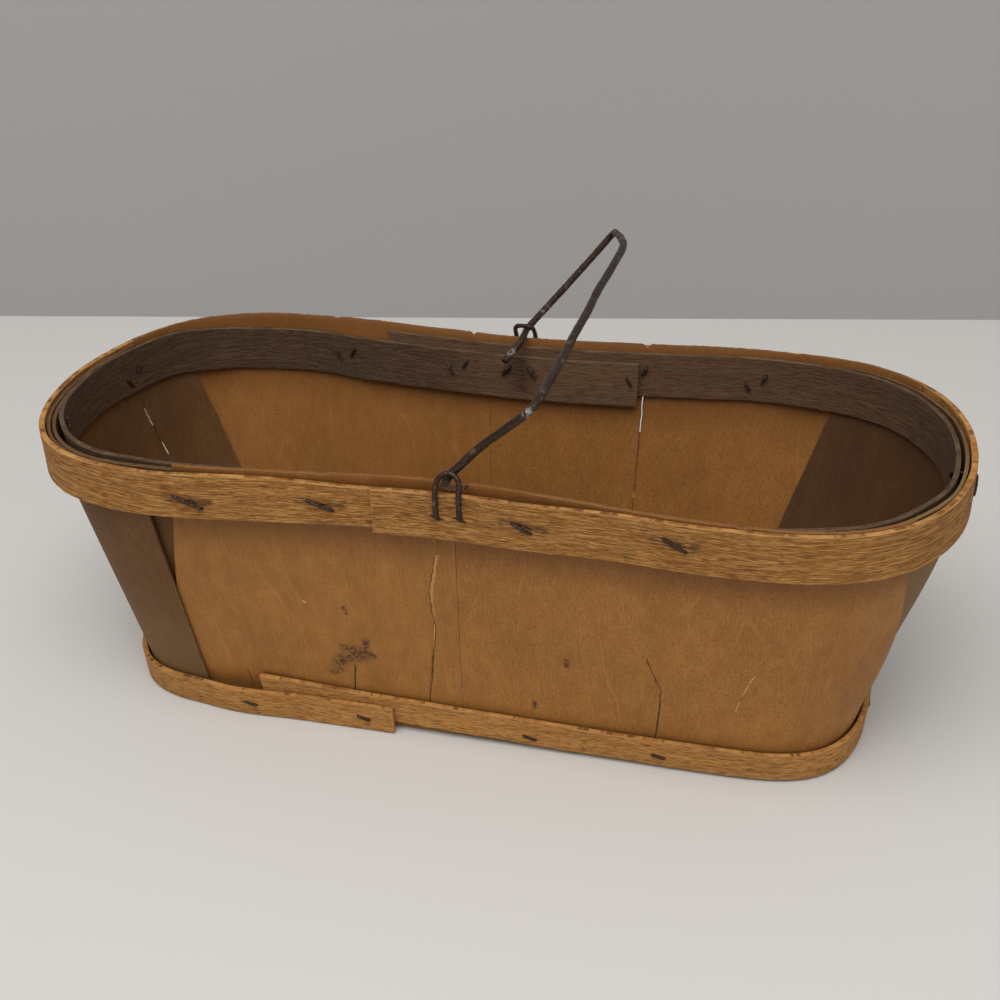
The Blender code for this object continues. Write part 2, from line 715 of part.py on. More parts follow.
def add_bail(collection):
    """The bail under an empty on its axis: through the eyes, bent as it is and leaning."""
    front_seat, _ = eye_seat(-1, BAIL_SHIFT)
    rear_seat, _ = eye_seat(1, BAIL_SHIFT)
    across = rear_seat - front_seat
    yaw = math.atan2(-across.x, across.y)
    axis = Vector((-math.sin(yaw), math.cos(yaw), 0.0))
    middle = (front_seat + rear_seat) / 2
    middle.z = axis_height()
    pivot = bpy.data.objects.new("bail_pivot", None)
    pivot.location = middle
    pivot.rotation_euler = (0.0, math.radians(BAIL_LEAN), yaw)
    collection.objects.link(pivot)

    half_span = abs((rear_seat - middle).dot(axis))
    arch = half_span - EYE_LEAN
    end = arch + EYE_WIRE / 2 + BAIL_FRONT_END
    front_foot = arch - EYE_WIRE / 2 - BAIL_RUNNING_GAP - BAIL_WIRE / 2
    rear_foot = half_span + BAIL_RUNNING_GAP
    progress = last_progress(INNER_BAND_SHARES, shifted_turn(1, BAIL_SHIFT))
    face = inner_band_point(progress, 1.0, 1.0)
    hook = abs((face - middle).dot(axis)) - BAIL_WIRE / 2
    corners = [(-end, 0.0), (-front_foot, 0.0)]
    radii = [BAIL_FRONT_FOOT_RADIUS]
    for along, away, bend in BAIL_CORNER_SHARES:
        corners.append((half_span * along, BAIL_REACH * away))
        radii.append(BAIL_REACH * bend)
    corners += [(rear_foot, 0.0), (hook, 0.0), (hook - BAIL_TAIL_REACH, -BAIL_TAIL_DROP)]
    radii += [BAIL_REAR_FOOT_RADIUS, BAIL_HOOK_RADIUS]
    points = [Vector((0.0, along, away)) for along, away in corners]
    path = rounded(points, radii, BAIL_BEND_STEPS)
    bail = curve_object(
        "bail_handle", path, BAIL_WIRE / 2, BAIL_BEVEL_RESOLUTION, "bail_wire", collection
    )
    bail.parent = pivot
    return bail


def add_board(collection):
    """The solid board: a disc drawn out to the outline inside the sheets, raised, edges eased."""
    count = QUARTERS * STATIONS_PER_TURN
    shape = bmesh.new()
    disc = bmesh.ops.create_circle(shape, cap_ends=True, segments=count, radius=1.0)
    for station, vertex in enumerate(disc["verts"]):
        turn = QUARTERS * station / count
        vertex.co = wall_point(turn, 0.0, inner_base(turn, 0.0))
    raised = bmesh.ops.extrude_face_region(shape, geom=shape.faces[:])
    top = [item for item in raised["geom"] if isinstance(item, bmesh.types.BMVert)]
    bmesh.ops.translate(shape, verts=top, vec=(0.0, 0.0, BOARD_THICKNESS))
    bmesh.ops.recalc_face_normals(shape, faces=shape.faces)
    mesh = bpy.data.meshes.new("bottom_board")
    shape.to_mesh(mesh)
    shape.free()
    board = add_object("bottom_board", mesh, "board_wood", collection)
    easing = board.modifiers.new("eased_edges", "BEVEL")
    easing.width = BOARD_EDGE_ROUNDING
    easing.segments = 1
    easing.limit_method = "ANGLE"
    easing.angle_limit = math.radians(SMOOTH_ANGLE)
    return board


def add_cutter(name, shape, collection):
    """A cutting body, drawn as wire and left out of the render."""
    bmesh.ops.recalc_face_normals(shape, faces=shape.faces)
    mesh = bpy.data.meshes.new(name)
    shape.to_mesh(mesh)
    shape.free()
    obj = bpy.data.objects.new(name, mesh)
    obj.hide_render = True
    obj.display_type = "WIRE"
    collection.objects.link(obj)
    return obj


def notch_shape():
    """The body that notches the front sheets' tops under the bail's wire."""
    seat, _ = eye_seat(-1, EYE_SHIFT)
    low = RIM_HEIGHT - EYE_NOTCH_DEPTH
    high = axis_height() + BAIL_WIRE
    depth = 2 * (OUTER_BAND_THICKNESS + SHEET_THICKNESS + EYE_WIRE) + CUT_OVERRUN
    size = Matrix.Diagonal((EYE_NOTCH_WIDTH, depth, high - low, 1.0))
    place = Matrix.Translation((seat.x, seat.y, (low + high) / 2))
    shape = bmesh.new()
    bmesh.ops.create_cube(shape, size=1.0, matrix=place @ size)
    return shape


def cut(obj, cutter):
    hole = obj.modifiers.new("holes_" + cutter.name, "BOOLEAN")
    hole.operation = "DIFFERENCE"
    hole.solver = "EXACT"
    hole.object = cutter


def build_basket():
    clear_scene()
    parts = new_collection(COLLECTION_NAME)
    cutters = new_collection("cutters")
    rim_holes = bmesh.new()
    hoop_holes = bmesh.new()

    board = add_board(parts)
    side_sheets, end_sheets = [], []
    for name, layer, rim, base, rises in SHEET_SHARES:
        sheet = add_sheet(name, layer, rim, base, rises, parts)
        (end_sheets if layer else side_sheets).append(sheet)
    outer = add_band(
        OUTER_BAND_SHARES, outer_band_point, OUTER_BAND_THICKNESS, "band_wood", parts
    )
    inner = add_band(
        INNER_BAND_SHARES, inner_band_point, INNER_BAND_THICKNESS, "inner_band_wood", parts
    )
    hoop = add_band(HOOP_SHARES, hoop_point, HOOP_THICKNESS, "band_wood", parts)

    add_eye("eye_staple_front", -1, rim_holes, parts)
    add_eye("eye_staple_rear", 1, rim_holes, parts)
    for index, shares in enumerate(BAND_STAPLE_SHARES, 1):
        add_band_staple(index, *shares, rim_holes, parts)
    for index, shares in enumerate(HOOP_STAPLE_SHARES, 1):
        add_hoop_staple(index, *shares, hoop_holes, parts)
    add_bail(parts)

    rim_cutter = add_cutter("rim_hole_cutter", rim_holes, cutters)
    hoop_cutter = add_cutter("hoop_hole_cutter", hoop_holes, cutters)
    notch_cutter = add_cutter("eye_notch_cutter", notch_shape(), cutters)
    for band in (outer, inner):
        cut(band, rim_cutter)
    for low in (hoop, board):
        cut(low, hoop_cutter)
    for sheet in side_sheets + end_sheets:
        cut(sheet, rim_cutter)
        cut(sheet, hoop_cutter)
    for sheet in side_sheets[:2]:
        cut(sheet, notch_cutter)


build_basket()
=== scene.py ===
"""Looks for a market basket of thin wood sheets, stapled bands and a wire bail.

Everything is in metres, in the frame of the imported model. A place round the basket is a turn: 0 is
the middle of the front, 1 the right tip, 2 the middle of the back, 3 the left tip. The wood pieces
carry a UV map named Place: the way round the wall and the height, both in metres, and a metre is
added to the height on the inner face, so that the two faces of a sheet have their own grain.
"""

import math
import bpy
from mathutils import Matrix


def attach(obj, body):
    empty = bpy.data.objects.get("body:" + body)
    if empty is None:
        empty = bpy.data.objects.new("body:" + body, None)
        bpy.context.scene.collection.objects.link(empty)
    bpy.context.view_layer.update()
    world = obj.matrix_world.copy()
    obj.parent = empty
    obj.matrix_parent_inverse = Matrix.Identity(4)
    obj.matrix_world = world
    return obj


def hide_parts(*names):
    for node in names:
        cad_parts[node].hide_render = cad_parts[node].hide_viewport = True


bl_info = {
    "name": "Stapled Wood Basket",
    "version": (1, 0, 0),
    "blender": (4, 5, 0),
    "location": "View3D > Sidebar > Basket",
    "description": "Builds the wood, staples and wire bail of a basket round its packed model",
    "category": "Add Mesh",
}

from functools import partial

import bpy
import numpy as np
from mathutils import Matrix, Vector

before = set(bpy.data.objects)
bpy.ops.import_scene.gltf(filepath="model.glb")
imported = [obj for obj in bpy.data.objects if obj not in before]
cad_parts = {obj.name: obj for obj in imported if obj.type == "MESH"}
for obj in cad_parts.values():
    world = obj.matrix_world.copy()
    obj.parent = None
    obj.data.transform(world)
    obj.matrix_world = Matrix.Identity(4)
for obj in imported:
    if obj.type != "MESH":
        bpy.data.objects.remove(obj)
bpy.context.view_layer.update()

# Outlines of the side sheets' outer faces, as in the model
RIM_HALF_LENGTH = 0.1737
RIM_HALF_WIDTH = 0.0769
RIM_POWER = 7.25
BASE_HALF_LENGTH = 0.1487
BASE_HALF_WIDTH = 0.0492
BASE_POWER = 12.0
RIM_HEIGHT = 0.1213
RIM_DIP = 0.0013
RIM_PINCH = 0.0100
RIM_PINCH_SPREAD = 0.0710
# The wall's foot stands upright, then bends over a short height into its slope
WALL_FOOT_HEIGHT = 0.0060
WALL_BEND_HEIGHT = 0.0080
# How much further the right end reaches at the rim, and how sharply that grows to the tip
END_REACH = 0.0030
END_REACH_POWER = 4
# Stretches of turns where the wall is rounded out, the turns over which that fades, how far
BULGES = ((0.90, 1.62), (2.40, 3.10))
BULGE_RAMP = 0.20
BULGE_DEPTH = 0.0240
BULGE_POWER = 2
# Share of a turn that is counted by change of heading, the rest by length
TURNING_SHARE = 1 / 3
OUTLINE_SAMPLES = 1201
QUARTERS = 4
SLOPE_STEP = 0.01

# The sheets, and the layers they lie in
LAYER_GAP = 0.00035
SHEET_THICKNESS = 0.0013
SHEET_FLOOR_GAP = 0.0006
SIDE_SHEET_RISE = 0.0017
END_SHEET_DROP = 0.0012
SEAM_GAP = 0.00004
LINING_SHIFT = 0.8

# Name, node, layer (-1 lining, 0 side, 1 wrap), turns of both edges at the rim and at the floor,
# and the share of the rise or drop of the top at both edges
SHEETS = (
    ("front_left_sheet", "side_sheet_front_left", 0, (3.664, 4.015), (3.515, 3.994), (1.0, 1.0)),
    ("front_right_sheet", "side_sheet_front_right", 0)
    + ((0.015, 0.690), (-0.006, 0.950), (1.0, 0.12)),
    ("back_right_sheet", "side_sheet_back_right", 0, (1.300, 2.070), (1.200, 2.055), (0.6, 1.0)),
    ("back_left_sheet", "side_sheet_back_left", 0, (2.070, 2.840), (2.055, 2.720), (1.0, 1.0)),
    ("left_lining", "end_lining_left", -1, (2.725, 3.720), (2.457, 3.600), (1.0, 1.0)),
    ("right_lining", "end_lining_right", -1, (0.550, 1.510), (0.550, 1.665), (1.0, 1.0)),
    ("left_wrap", "end_wrap_left", 1, (2.660, 3.600), (2.620, 3.585), (1.0, 1.0)),
)

# The bands: upright is 1 where one stands plumb and 0 where it leans with the wall
OUTER_BAND_HEIGHT = 0.0180
OUTER_BAND_THICKNESS = 0.0022
OUTER_BAND_LAP_DROP = 0.0010
OUTER_BAND_START_DROP = 0.0022
OUTER_BAND_UPRIGHT = 0.9
INNER_BAND_HEIGHT = 0.0190
INNER_BAND_THICKNESS = 0.0018
INNER_BAND_DROP = 0.0046
INNER_BAND_UPRIGHT = 0.45
HOOP_HEIGHT = 0.0120
HOOP_THICKNESS = 0.0022
HOOP_FLOOR_GAP = 0.0004
HOOP_START_LIFT = 0.0075
HOOP_STAND = 0.0005
HOOP_SETTLE = 0.30
LAP_RAMP = 0.14
SHEET_EDGE = 0.03
SHEET_RAMP = 0.14

# First turn, direction round and length in turns of each band
OUTER_BAND_ROUND = (4.090, -1, 4.180)
INNER_BAND_ROUND = (2.221, -1, 4.382)
HOOP_ROUND = (3.692, 1, 4.203)

# Turns along the inner band and the share of its drop under the rim there
INNER_BAND_DROPS = (
    (0.0, 0.13),
    (0.6, 0.22),
    (1.22, 0.35),
    (2.2, 0.43),
    (3.1, -0.22),
    (3.4, -0.09),
    (3.8, 0.91),
    (4.4, 1.0),
)

# Turn, height below the rim as a share of the band, slope of the crown in degrees, and its length
# as a share of the usual one
BAND_STAPLES = (
    (3.685, 0.61, 24, 1.24),
    (3.847, 0.52, 22, 1.07),
    (0.110, 0.50, 25, 0.80),
    (0.281, 0.43, 28, 0.96),
    (0.962, 0.48, 80, 1.0),
    (1.678, 0.56, 24, 1.0),
    (1.843, 0.50, 25, 1.0),
    (2.110, 0.55, 20, 1.0),
    (2.286, 0.60, 15, 1.0),
    (2.886, 0.50, 30, 1.0),
    (3.200, 0.40, 72, 1.0),
)
# Lengths of a band staple, and the slope of its clinched tails in degrees
BAND_STAPLE_CROWN = 0.0092
BAND_STAPLE_WIRE = 0.0013
BAND_STAPLE_TAIL = 0.0038
BAND_STAPLE_BEND = 0.0008
BAND_STAPLE_TAIL_SLOPE = 58
BAND_STAPLE_BOW = 0.00020
BAND_STAPLE_BOW_RADIUS = 0.006

# Turn and slope of each small staple through the hoop
HOOP_STAPLES = (
    (3.673, 12),
    (3.850, 14),
    (0.097, 14),
    (0.281, 12),
    (1.000, 10),
    (1.730, 12),
    (1.900, 10),
    (2.110, 14),
    (2.280, 12),
    (3.000, 10),
)
# Lengths of a hoop staple, and the height it sits at
HOOP_STAPLE_CROWN = 0.0050
HOOP_STAPLE_WIRE = 0.0011
HOOP_STAPLE_BITE = 0.0060
HOOP_STAPLE_BEND = 0.0007
HOOP_STAPLE_HEIGHT = 0.0062

# The bail: its lean is in degrees
BAIL_WIRE = 0.0029
BAIL_LEAN = 42.0
BAIL_REACH = 0.0672
BAIL_SHIFT = 0.0032
BAIL_FRONT_FOOT_RADIUS = 0.0020
BAIL_FRONT_END = 0.0016
BAIL_REAR_FOOT_RADIUS = 0.0034
BAIL_HOOK_RADIUS = 0.0030
BAIL_TAIL_REACH = 0.0095
BAIL_TAIL_DROP = 0.0080
BAIL_RUNNING_GAP = 0.0005

# Corners of the bail, front to back: place along the axis as a share of half its span, distance
# from the axis and radius of the bend as shares of its reach
BAIL_CORNERS = (
    (-0.926, 0.287, 0.530),
    (-1.215, 0.763, 0.063),
    (0.581, 1.000, 0.707),
    (1.261, 0.763, 0.064),
)
# Painted highlights on the bail, as shares of its length from the front
BAIL_PAINTED_GLINT_SHARES = (0.18, 0.885, 0.985)
# The wire eyes, with the slope of their clinched tails in degrees
EYE_SHIFT = 0.0038
EYE_WIRE = 0.0019
EYE_WIDTH = 0.0084
EYE_LEG_DROP = 0.0090
EYE_LEAN = 0.0036
EYE_BEND = 0.0016
EYE_TAIL = 0.0045
EYE_TAIL_SLOPE = 50
# How round the arch is in front and at the back, where it is squarer
EYE_SQUARENESS = {-1: 1.0, 1: 0.62}
ARCH_STEPS = 20

# Wires: spacing of their points, how near the ends they are held straight, and steps in a bend
WIRE_SPACING = 0.0004
STAPLE_SPACING = 0.0003
WIRE_HELD = 0.004
BEND_STEPS = 6
BAIL_BEND_STEPS = 14
# Half width in mm of a painted highlight on the bail
PAINTED_GLINT_HALF = 2.0

# How far grain wavers, in mm
VENEER_WAVER = 0.9
BAND_WAVER = 2.4
# Ends of the inner band's two painted shades, where less light falls from near its right end on and
# from its left end on, and of its paler lap, in turns along it, and its darker patch below the
# bail's hook as turns and heights in mm, a metre more as it is on the inner face
INNER_BAND_PAINTED_SHADE_ENDS = (0.50, 0.84, 2.9, 3.5, QUARTERS + 0.06, QUARTERS + 0.20)
INNER_BAND_DARK_PATCH = ((-1.985, 1118.0), (-1.990, 1104.0))

# Photograph's view: aim, distance, angles in radians, and focal length in millimetres
VIEW_AIM = (-0.01093, 0.04820, 0.05334)
VIEW_DISTANCE = 0.6303
VIEW_PITCH = 0.4956
VIEW_YAW = -0.2697
VIEW_ROLL = -0.0259
VIEW_LENS = 52.02
SENSOR_WIDTH = 36.0
CLIP_START = 0.02
PHOTO_PIXELS = 1000.0

# Stage: pixel rows of the floor's far edge at both sides of the photograph, then lengths
FLOOR_END_PIXELS = (316.0, 320.0)
FLOOR_DROP = 0.0003
STAGE_REACH = 3.0
BACKDROP_HEIGHT = 2.4
BACKDROP_LEAN = 0.06
KEY_PLACE = (0.02, -0.74, 1.40)
KEY_AIM = (0.0, 0.02, 0.05)
KEY_SIZE = (1.3, 1.1)

MILLIMETRES = 1000.0
# How much higher the places of the inner face lie
INNER_FACE_SHIFT = 1.0
# Gloss of the wood and cloth, and the two material slots of a strip
DULL_GLOSS = 0.3
FACE_WOOD = 0
CUT_WOOD = 1


def linear(code):
    """An sRGB hex colour as linear red, green and blue."""
    shares = [int(code[at : at + 2], 16) / 255 for at in (1, 3, 5)]
    return tuple(c / 12.92 if c <= 0.04045 else ((c + 0.055) / 1.055) ** 2.4 for c in shares)


def colour_setting(name, description, code):
    return bpy.props.FloatVectorProperty(
        name=name,
        description=description,
        subtype="COLOR",
        size=3,
        min=0.0,
        max=1.0,
        default=linear(code),
    )


def length_setting(name, description, default):
    return bpy.props.FloatProperty(
        name=name,
        description=description,
        default=default,
        min=0.0,
        unit="LENGTH",
        subtype="DISTANCE",
        precision=5,
    )


class BasketWoodSettings(bpy.types.PropertyGroup):
    """Sizes and colours of the sheets and bands."""

    sheet_cell: length_setting("Sheet cell", "Width of a face along a sheet", 0.0013)
    sheet_row: length_setting("Sheet row", "Height of a face up a sheet", 0.0020)
    band_cell: length_setting("Band cell", "Width of a face along a band", 0.0011)
    band_row: length_setting("Band row", "Height of a face up a band", 0.0009)
    edge_round: length_setting("Edge rounding", "Rounding of worn wood edges", 0.00022)
    sheet_wave: length_setting("Sheet wave", "How far the sheets buckle", 0.00040)
    edge_fray: length_setting("Edge fray", "How ragged the cut edges are", 0.00016)
    side_colour: colour_setting("Side sheets", "Stained wood of the sides", "#9f6a30")
    # Also the colour of the sides' painted shade under the band and over the hoop
    side_dark: colour_setting("Side sheets, dark", "Dark grain of the sides", "#6b3f18")
    side_light: colour_setting("Side sheets, light", "Light figure of the sides", "#b5823f")
    end_colour: colour_setting("End sheets", "Weathered wood of the ends", "#6c461f")
    end_dark: colour_setting("End sheets, dark", "Dark grain of the ends", "#402815")
    end_light: colour_setting("End sheets, light", "Grey bloom of the ends", "#83663f")
    band_colour: colour_setting("Bands", "Rough wood of the outer bands", "#965f25")
    hoop_colour: colour_setting("Hoop", "Cleaner wood of the bottom hoop", "#bb7f3f")
    band_dark: colour_setting("Bands, dark", "Pits between the bands' fibres", "#5b3714")
    band_light: colour_setting("Bands, light", "Raised fibres of the bands", "#c99551")
    inner_colour: colour_setting("Inner band", "Grey-brown wood of the inner band", "#63462f")
    # Also the colour of the inner band's painted shade towards its ends
    inner_dark: colour_setting("Inner band, dark", "Dark grain of the inner band", "#2a1b10")
    inner_light: colour_setting("Inner band, light", "Grey fibres of the inner band", "#705740")
    lap_colour: colour_setting("Inner lap", "Paler end of the inner band, over its lap", "#6b4f36")
    board_colour: colour_setting("Board", "Wood of the bottom board", "#94704a")
    raw_colour: colour_setting("Raw wood", "Torn wood that was never stained", "#d2a565")
    stain_colour: colour_setting("Iron stain", "Dark stain round the staples", "#361d14")


class BasketWireSettings(bpy.types.PropertyGroup):
    """Sizes and colours of the staples and the bail."""

    round_sides: bpy.props.IntProperty(
        name="Bevel resolution", description="Roundness of the wires", default=4, min=1, max=12
    )
    bail_bend_noise: length_setting("Bail unevenness", "Small bends by hand in the bail", 0.00030)
    wire_colour: colour_setting("Wire", "Dark oxide on the wire", "#3d2c21")
    wire_rust: colour_setting("Rust", "Brown rust on the wire", "#45291a")
    wire_worn: colour_setting("Worn wire", "Bare steel where the oxide is worn", "#a39a92")


class BasketStageSettings(bpy.types.PropertyGroup):
    """Floor, backdrop and light."""

    floor_colour: colour_setting("Floor", "Pale floor", "#d6d4d0")
    backdrop_colour: colour_setting("Backdrop", "Pale cloth behind", "#a5a3a1")
    key_power: bpy.props.FloatProperty(
        name="Key light", description="Power of the soft light above", default=16.5, unit="POWER"
    )
    fill_strength: bpy.props.FloatProperty(
        name="Fill", description="Strength of the light from all round", default=0.57
    )


def smooth_step(share):
    share = np.clip(share, 0.0, 1.0)
    return share * share * (3 - 2 * share)


def quarter_outline(half_length, half_width, power, pinch):
    """A quarter of an outline from the middle of a long side to the tip: x, y and turn."""
    run = np.linspace(0.0, 1.0, OUTLINE_SAMPLES)
    x = half_length * (1 - (1 - run) ** 2)
    y = half_width * np.sqrt(np.maximum(1 - (x / half_length) ** power, 0.0))
    y = y * (1 - pinch / half_width * np.exp(-((x / RIM_PINCH_SPREAD) ** 2)))
    step_x, step_y = np.diff(x), np.diff(y)
    length = np.concatenate([[0.0], np.cumsum(np.hypot(step_x, step_y))])
    heading = np.arctan2(-step_y, step_x)
    heading = np.concatenate([[0.0], (heading[1:] + heading[:-1]) / 2, [math.pi / 2]])
    turning = np.concatenate([[0.0], np.cumsum(np.abs(np.diff(heading)))])
    turn = (1 - TURNING_SHARE) * length / length[-1] + TURNING_SHARE * turning / turning[-1]
    return x, y, turn


RIM_OUTLINE = quarter_outline(RIM_HALF_LENGTH, RIM_HALF_WIDTH, RIM_POWER, RIM_PINCH)
BASE_OUTLINE = quarter_outline(BASE_HALF_LENGTH, BASE_HALF_WIDTH, BASE_POWER, 0.0)


def outline_xy(outline, turn):
    """Points of a whole outline at an array of turns, mirrored from its quarter."""
    turn = np.mod(turn, QUARTERS)
    quarter = np.minimum(np.floor(turn), QUARTERS - 1)
    along = turn - quarter
    along = np.where(quarter % 2 == 1, 1 - along, along)
    x = np.interp(along, outline[2], outline[0])
    y = np.interp(along, outline[2], outline[1])
    in_front = (quarter == 0) | (quarter == 3)
    return np.stack([np.where(quarter < 2, x, -x), np.where(in_front, -y, y)], -1)


def flare(z):
    """Share of the way from the base outline to the rim outline."""
    rate = 1 / (RIM_HEIGHT - WALL_FOOT_HEIGHT - WALL_BEND_HEIGHT / 2)
    above = z - WALL_FOOT_HEIGHT
    bent = np.clip(above, 0.0, WALL_BEND_HEIGHT)
    straight = np.maximum(above - WALL_BEND_HEIGHT, 0.0)
    return rate * (bent * bent / (2 * WALL_BEND_HEIGHT) + straight)


def plan_xy(turn, z):
    share = flare(np.asarray(z, float))[..., None]
    rim = outline_xy(RIM_OUTLINE, turn)
    tip = np.maximum(rim[..., 0], 0.0) / RIM_HALF_LENGTH
    reach = np.stack([END_REACH * tip**END_REACH_POWER, np.zeros_like(tip)], -1)
    return outline_xy(BASE_OUTLINE, turn) * (1 - share) + (rim + reach) * share


def outward_xy(turn, z):
    """The level direction out of the wall."""
    along = plan_xy(turn + SLOPE_STEP, z) - plan_xy(turn - SLOPE_STEP, z)
    out = np.stack([along[..., 1], -along[..., 0]], -1)
    return out / np.linalg.norm(out, axis=-1, keepdims=True)


def beyond(turn, start, end):
    """How far turns lie outside a stretch, below zero inside it."""
    opposite = QUARTERS / 2
    away = np.mod(turn - (start + end) / 2 + opposite, QUARTERS) - opposite
    return np.abs(away) - (end - start) / 2


def bulge(turn, z):
    """How far the wall is rounded out at the ends, where the bands press the sheets upright."""
    reach = np.maximum(*[1 - beyond(turn, start, end) / BULGE_RAMP for start, end in BULGES])
    share = np.minimum(flare(z), 1.0)
    return BULGE_DEPTH * smooth_step(reach) * share**BULGE_POWER * (1 - share)


def wall_points(turn, z, depth):
    """Points at a depth outwards from the side sheets' outer face."""
    turn, z, depth = np.broadcast_arrays(np.asarray(turn, float), z, depth)
    plan = plan_xy(turn, z) + outward_xy(turn, z) * (depth + bulge(turn, z))[..., None]
    return np.concatenate([plan, z[..., None]], -1)


def rim_drop(turn):
    return RIM_DIP * (outline_xy(RIM_OUTLINE, turn)[..., 0] / RIM_HALF_LENGTH) ** 2


def turns_per_metre(turn, z):
    chord = plan_xy(turn + SLOPE_STEP, z) - plan_xy(turn - SLOPE_STEP, z)
    return 2 * SLOPE_STEP / np.linalg.norm(chord, axis=-1)


# The way round the wall at half its height, in metres, as a table over the turn
ROUND_TURNS = np.linspace(0.0, QUARTERS, QUARTERS * 400 + 1)
ROUND_STEPS = np.diff(plan_xy(ROUND_TURNS, np.full(ROUND_TURNS.shape, RIM_HEIGHT / 2)), axis=0)
ROUND_WAY = np.concatenate([[0.0], np.cumsum(np.linalg.norm(ROUND_STEPS, axis=1))])


def way_round(turn):
    """Metres round the wall to a turn, also past a whole round."""
    turn = np.asarray(turn, float)
    rounds = np.floor(turn / QUARTERS)
    return rounds * ROUND_WAY[-1] + np.interp(turn - rounds * QUARTERS, ROUND_TURNS, ROUND_WAY)


def sheet_edges(rim, base, up):
    """Turns of a sheet's edges at a share of the rim's height."""
    return base[0] + (rim[0] - base[0]) * up, base[1] + (rim[1] - base[1]) * up


def sheet_cover(layer, turn, up):
    """1 where a sheet of the layer lies at a share of the rim's height, easing to 0 beyond."""
    cover = np.zeros(np.broadcast_shapes(np.shape(turn), np.shape(up)))
    for _, _, sheet_layer, rim, base, _ in SHEETS:
        if sheet_layer == layer:
            away = beyond(turn, *sheet_edges(rim, base, up)) - SHEET_EDGE
            cover = np.maximum(cover, smooth_step(1 - away / SHEET_RAMP))
    return cover


def side_place(turn, up):
    """Share of a side sheet's place kept outside a lining, which moves out past the sheet."""
    return 1 - LINING_SHIFT * (1 - sheet_cover(0, turn, up))


def sheet_depth(layer, turn, z):
    """Depth of the middle of a sheet's thickness."""
    place = layer if layer >= 0 else layer * side_place(turn, z / RIM_HEIGHT)
    return place * (SHEET_THICKNESS + LAYER_GAP) - SHEET_THICKNESS / 2


def outer_base(turn, up):
    return LAYER_GAP + (SHEET_THICKNESS + LAYER_GAP) * sheet_cover(1, turn, up)


def inner_base(turn, up):
    return -(SHEET_THICKNESS + LAYER_GAP) * (side_place(turn, up) + sheet_cover(-1, turn, up))


def eased(knots, at):
    """A value that eases from each knot to the next."""
    value = np.full(np.shape(at), knots[0][1])
    for (near, low), (far, high) in zip(knots, knots[1:]):
        value = value + (high - low) * smooth_step((at - near) / (far - near))
    return value


def strip_turn(band_round, progress):
    start, direction, _ = band_round
    return start + direction * progress


def lap_lift(progress):
    return smooth_step((progress - (QUARTERS - LAP_RAMP)) / LAP_RAMP)


def last_progress(band_round, turn):
    start, direction, length = band_round
    progress = np.mod((turn - start) * direction, QUARTERS)
    return np.where(progress + QUARTERS <= length, progress + QUARTERS, progress)


def upright_points(turn, z, held_z, depth, upright):
    """Points of a strip that touches the wall at held_z and stands more upright than the wall."""
    plumb = wall_points(turn, held_z, depth)
    plumb[..., 2] = z
    return plumb * upright + wall_points(turn, z, depth) * (1 - upright)


def outer_band_points(progress, up, through):
    """Points of the outer band: up over its height, through over its thickness, both 0 to 1."""
    turn = strip_turn(OUTER_BAND_ROUND, progress)
    lift = lap_lift(progress)
    top = RIM_HEIGHT - rim_drop(turn) - OUTER_BAND_LAP_DROP * lift
    depth = outer_base(turn, 1.0) + lift * (OUTER_BAND_THICKNESS + LAYER_GAP)
    depth = depth + through * OUTER_BAND_THICKNESS
    covered = OUTER_BAND_ROUND[2] - QUARTERS + LAP_RAMP
    under = smooth_step((covered - progress) / LAP_RAMP)
    z = top - (1 - up) * OUTER_BAND_HEIGHT - up * under * OUTER_BAND_START_DROP
    return upright_points(turn, z, top, depth, OUTER_BAND_UPRIGHT)


def inner_band_points(progress, up, through):
    """Points of the inner band: through grows inwards."""
    turn = strip_turn(INNER_BAND_ROUND, progress)
    drop = INNER_BAND_DROP * eased(INNER_BAND_DROPS, progress)
    foot = RIM_HEIGHT - rim_drop(turn) - drop - INNER_BAND_HEIGHT
    depth = inner_base(turn, foot / RIM_HEIGHT)
    depth = depth - lap_lift(progress) * (INNER_BAND_THICKNESS + LAYER_GAP)
    depth = depth - through * INNER_BAND_THICKNESS
    return upright_points(turn, foot + up * INNER_BAND_HEIGHT, foot, depth, INNER_BAND_UPRIGHT)


def hoop_points(progress, up, through):
    """Points of the hoop round the board, whose first stretch slipped upwards."""
    turn = strip_turn(HOOP_ROUND, progress)
    foot = HOOP_FLOOR_GAP + HOOP_START_LIFT * np.exp(-progress / HOOP_SETTLE)
    depth = outer_base(turn, 0.0) + lap_lift(progress) * (HOOP_THICKNESS + LAYER_GAP)
    depth = depth + through * HOOP_THICKNESS
    low = wall_points(turn, foot, depth)
    high = wall_points(turn, foot + HOOP_HEIGHT, depth + HOOP_STAND)
    up = np.asarray(up, float)[..., None]
    return low * (1 - up) + high * up


def one_point(values):
    return Vector([float(value) for value in np.ravel(values)])


def lattice(x, y, seed):
    """A repeatable value between -1 and 1 for each whole-number place."""
    key = np.sin(x * 127.1 + y * 311.7 + seed * 74.7) * 43758.5453
    return 2 * (key - np.floor(key)) - 1


def value_noise(x, y, seed):
    """Smooth noise between -1 and 1 with a feature about every unit."""
    cell_x, cell_y = np.floor(x), np.floor(y)
    part_x, part_y = smooth_step(x - cell_x), smooth_step(y - cell_y)
    low, high = (
        lattice(cell_x, near, seed) * (1 - part_x) + lattice(cell_x + 1, near, seed) * part_x
        for near in (cell_y, cell_y + 1)
    )
    return low * (1 - part_y) + high * part_y


def layered_noise(way, z, seed, layers):
    """Noises added up: each has a weight, features per metre along and up, and its own seed."""
    return sum(
        weight * value_noise(way * along, z * up, seed + own) for weight, along, up, own in layers
    )


# Materials

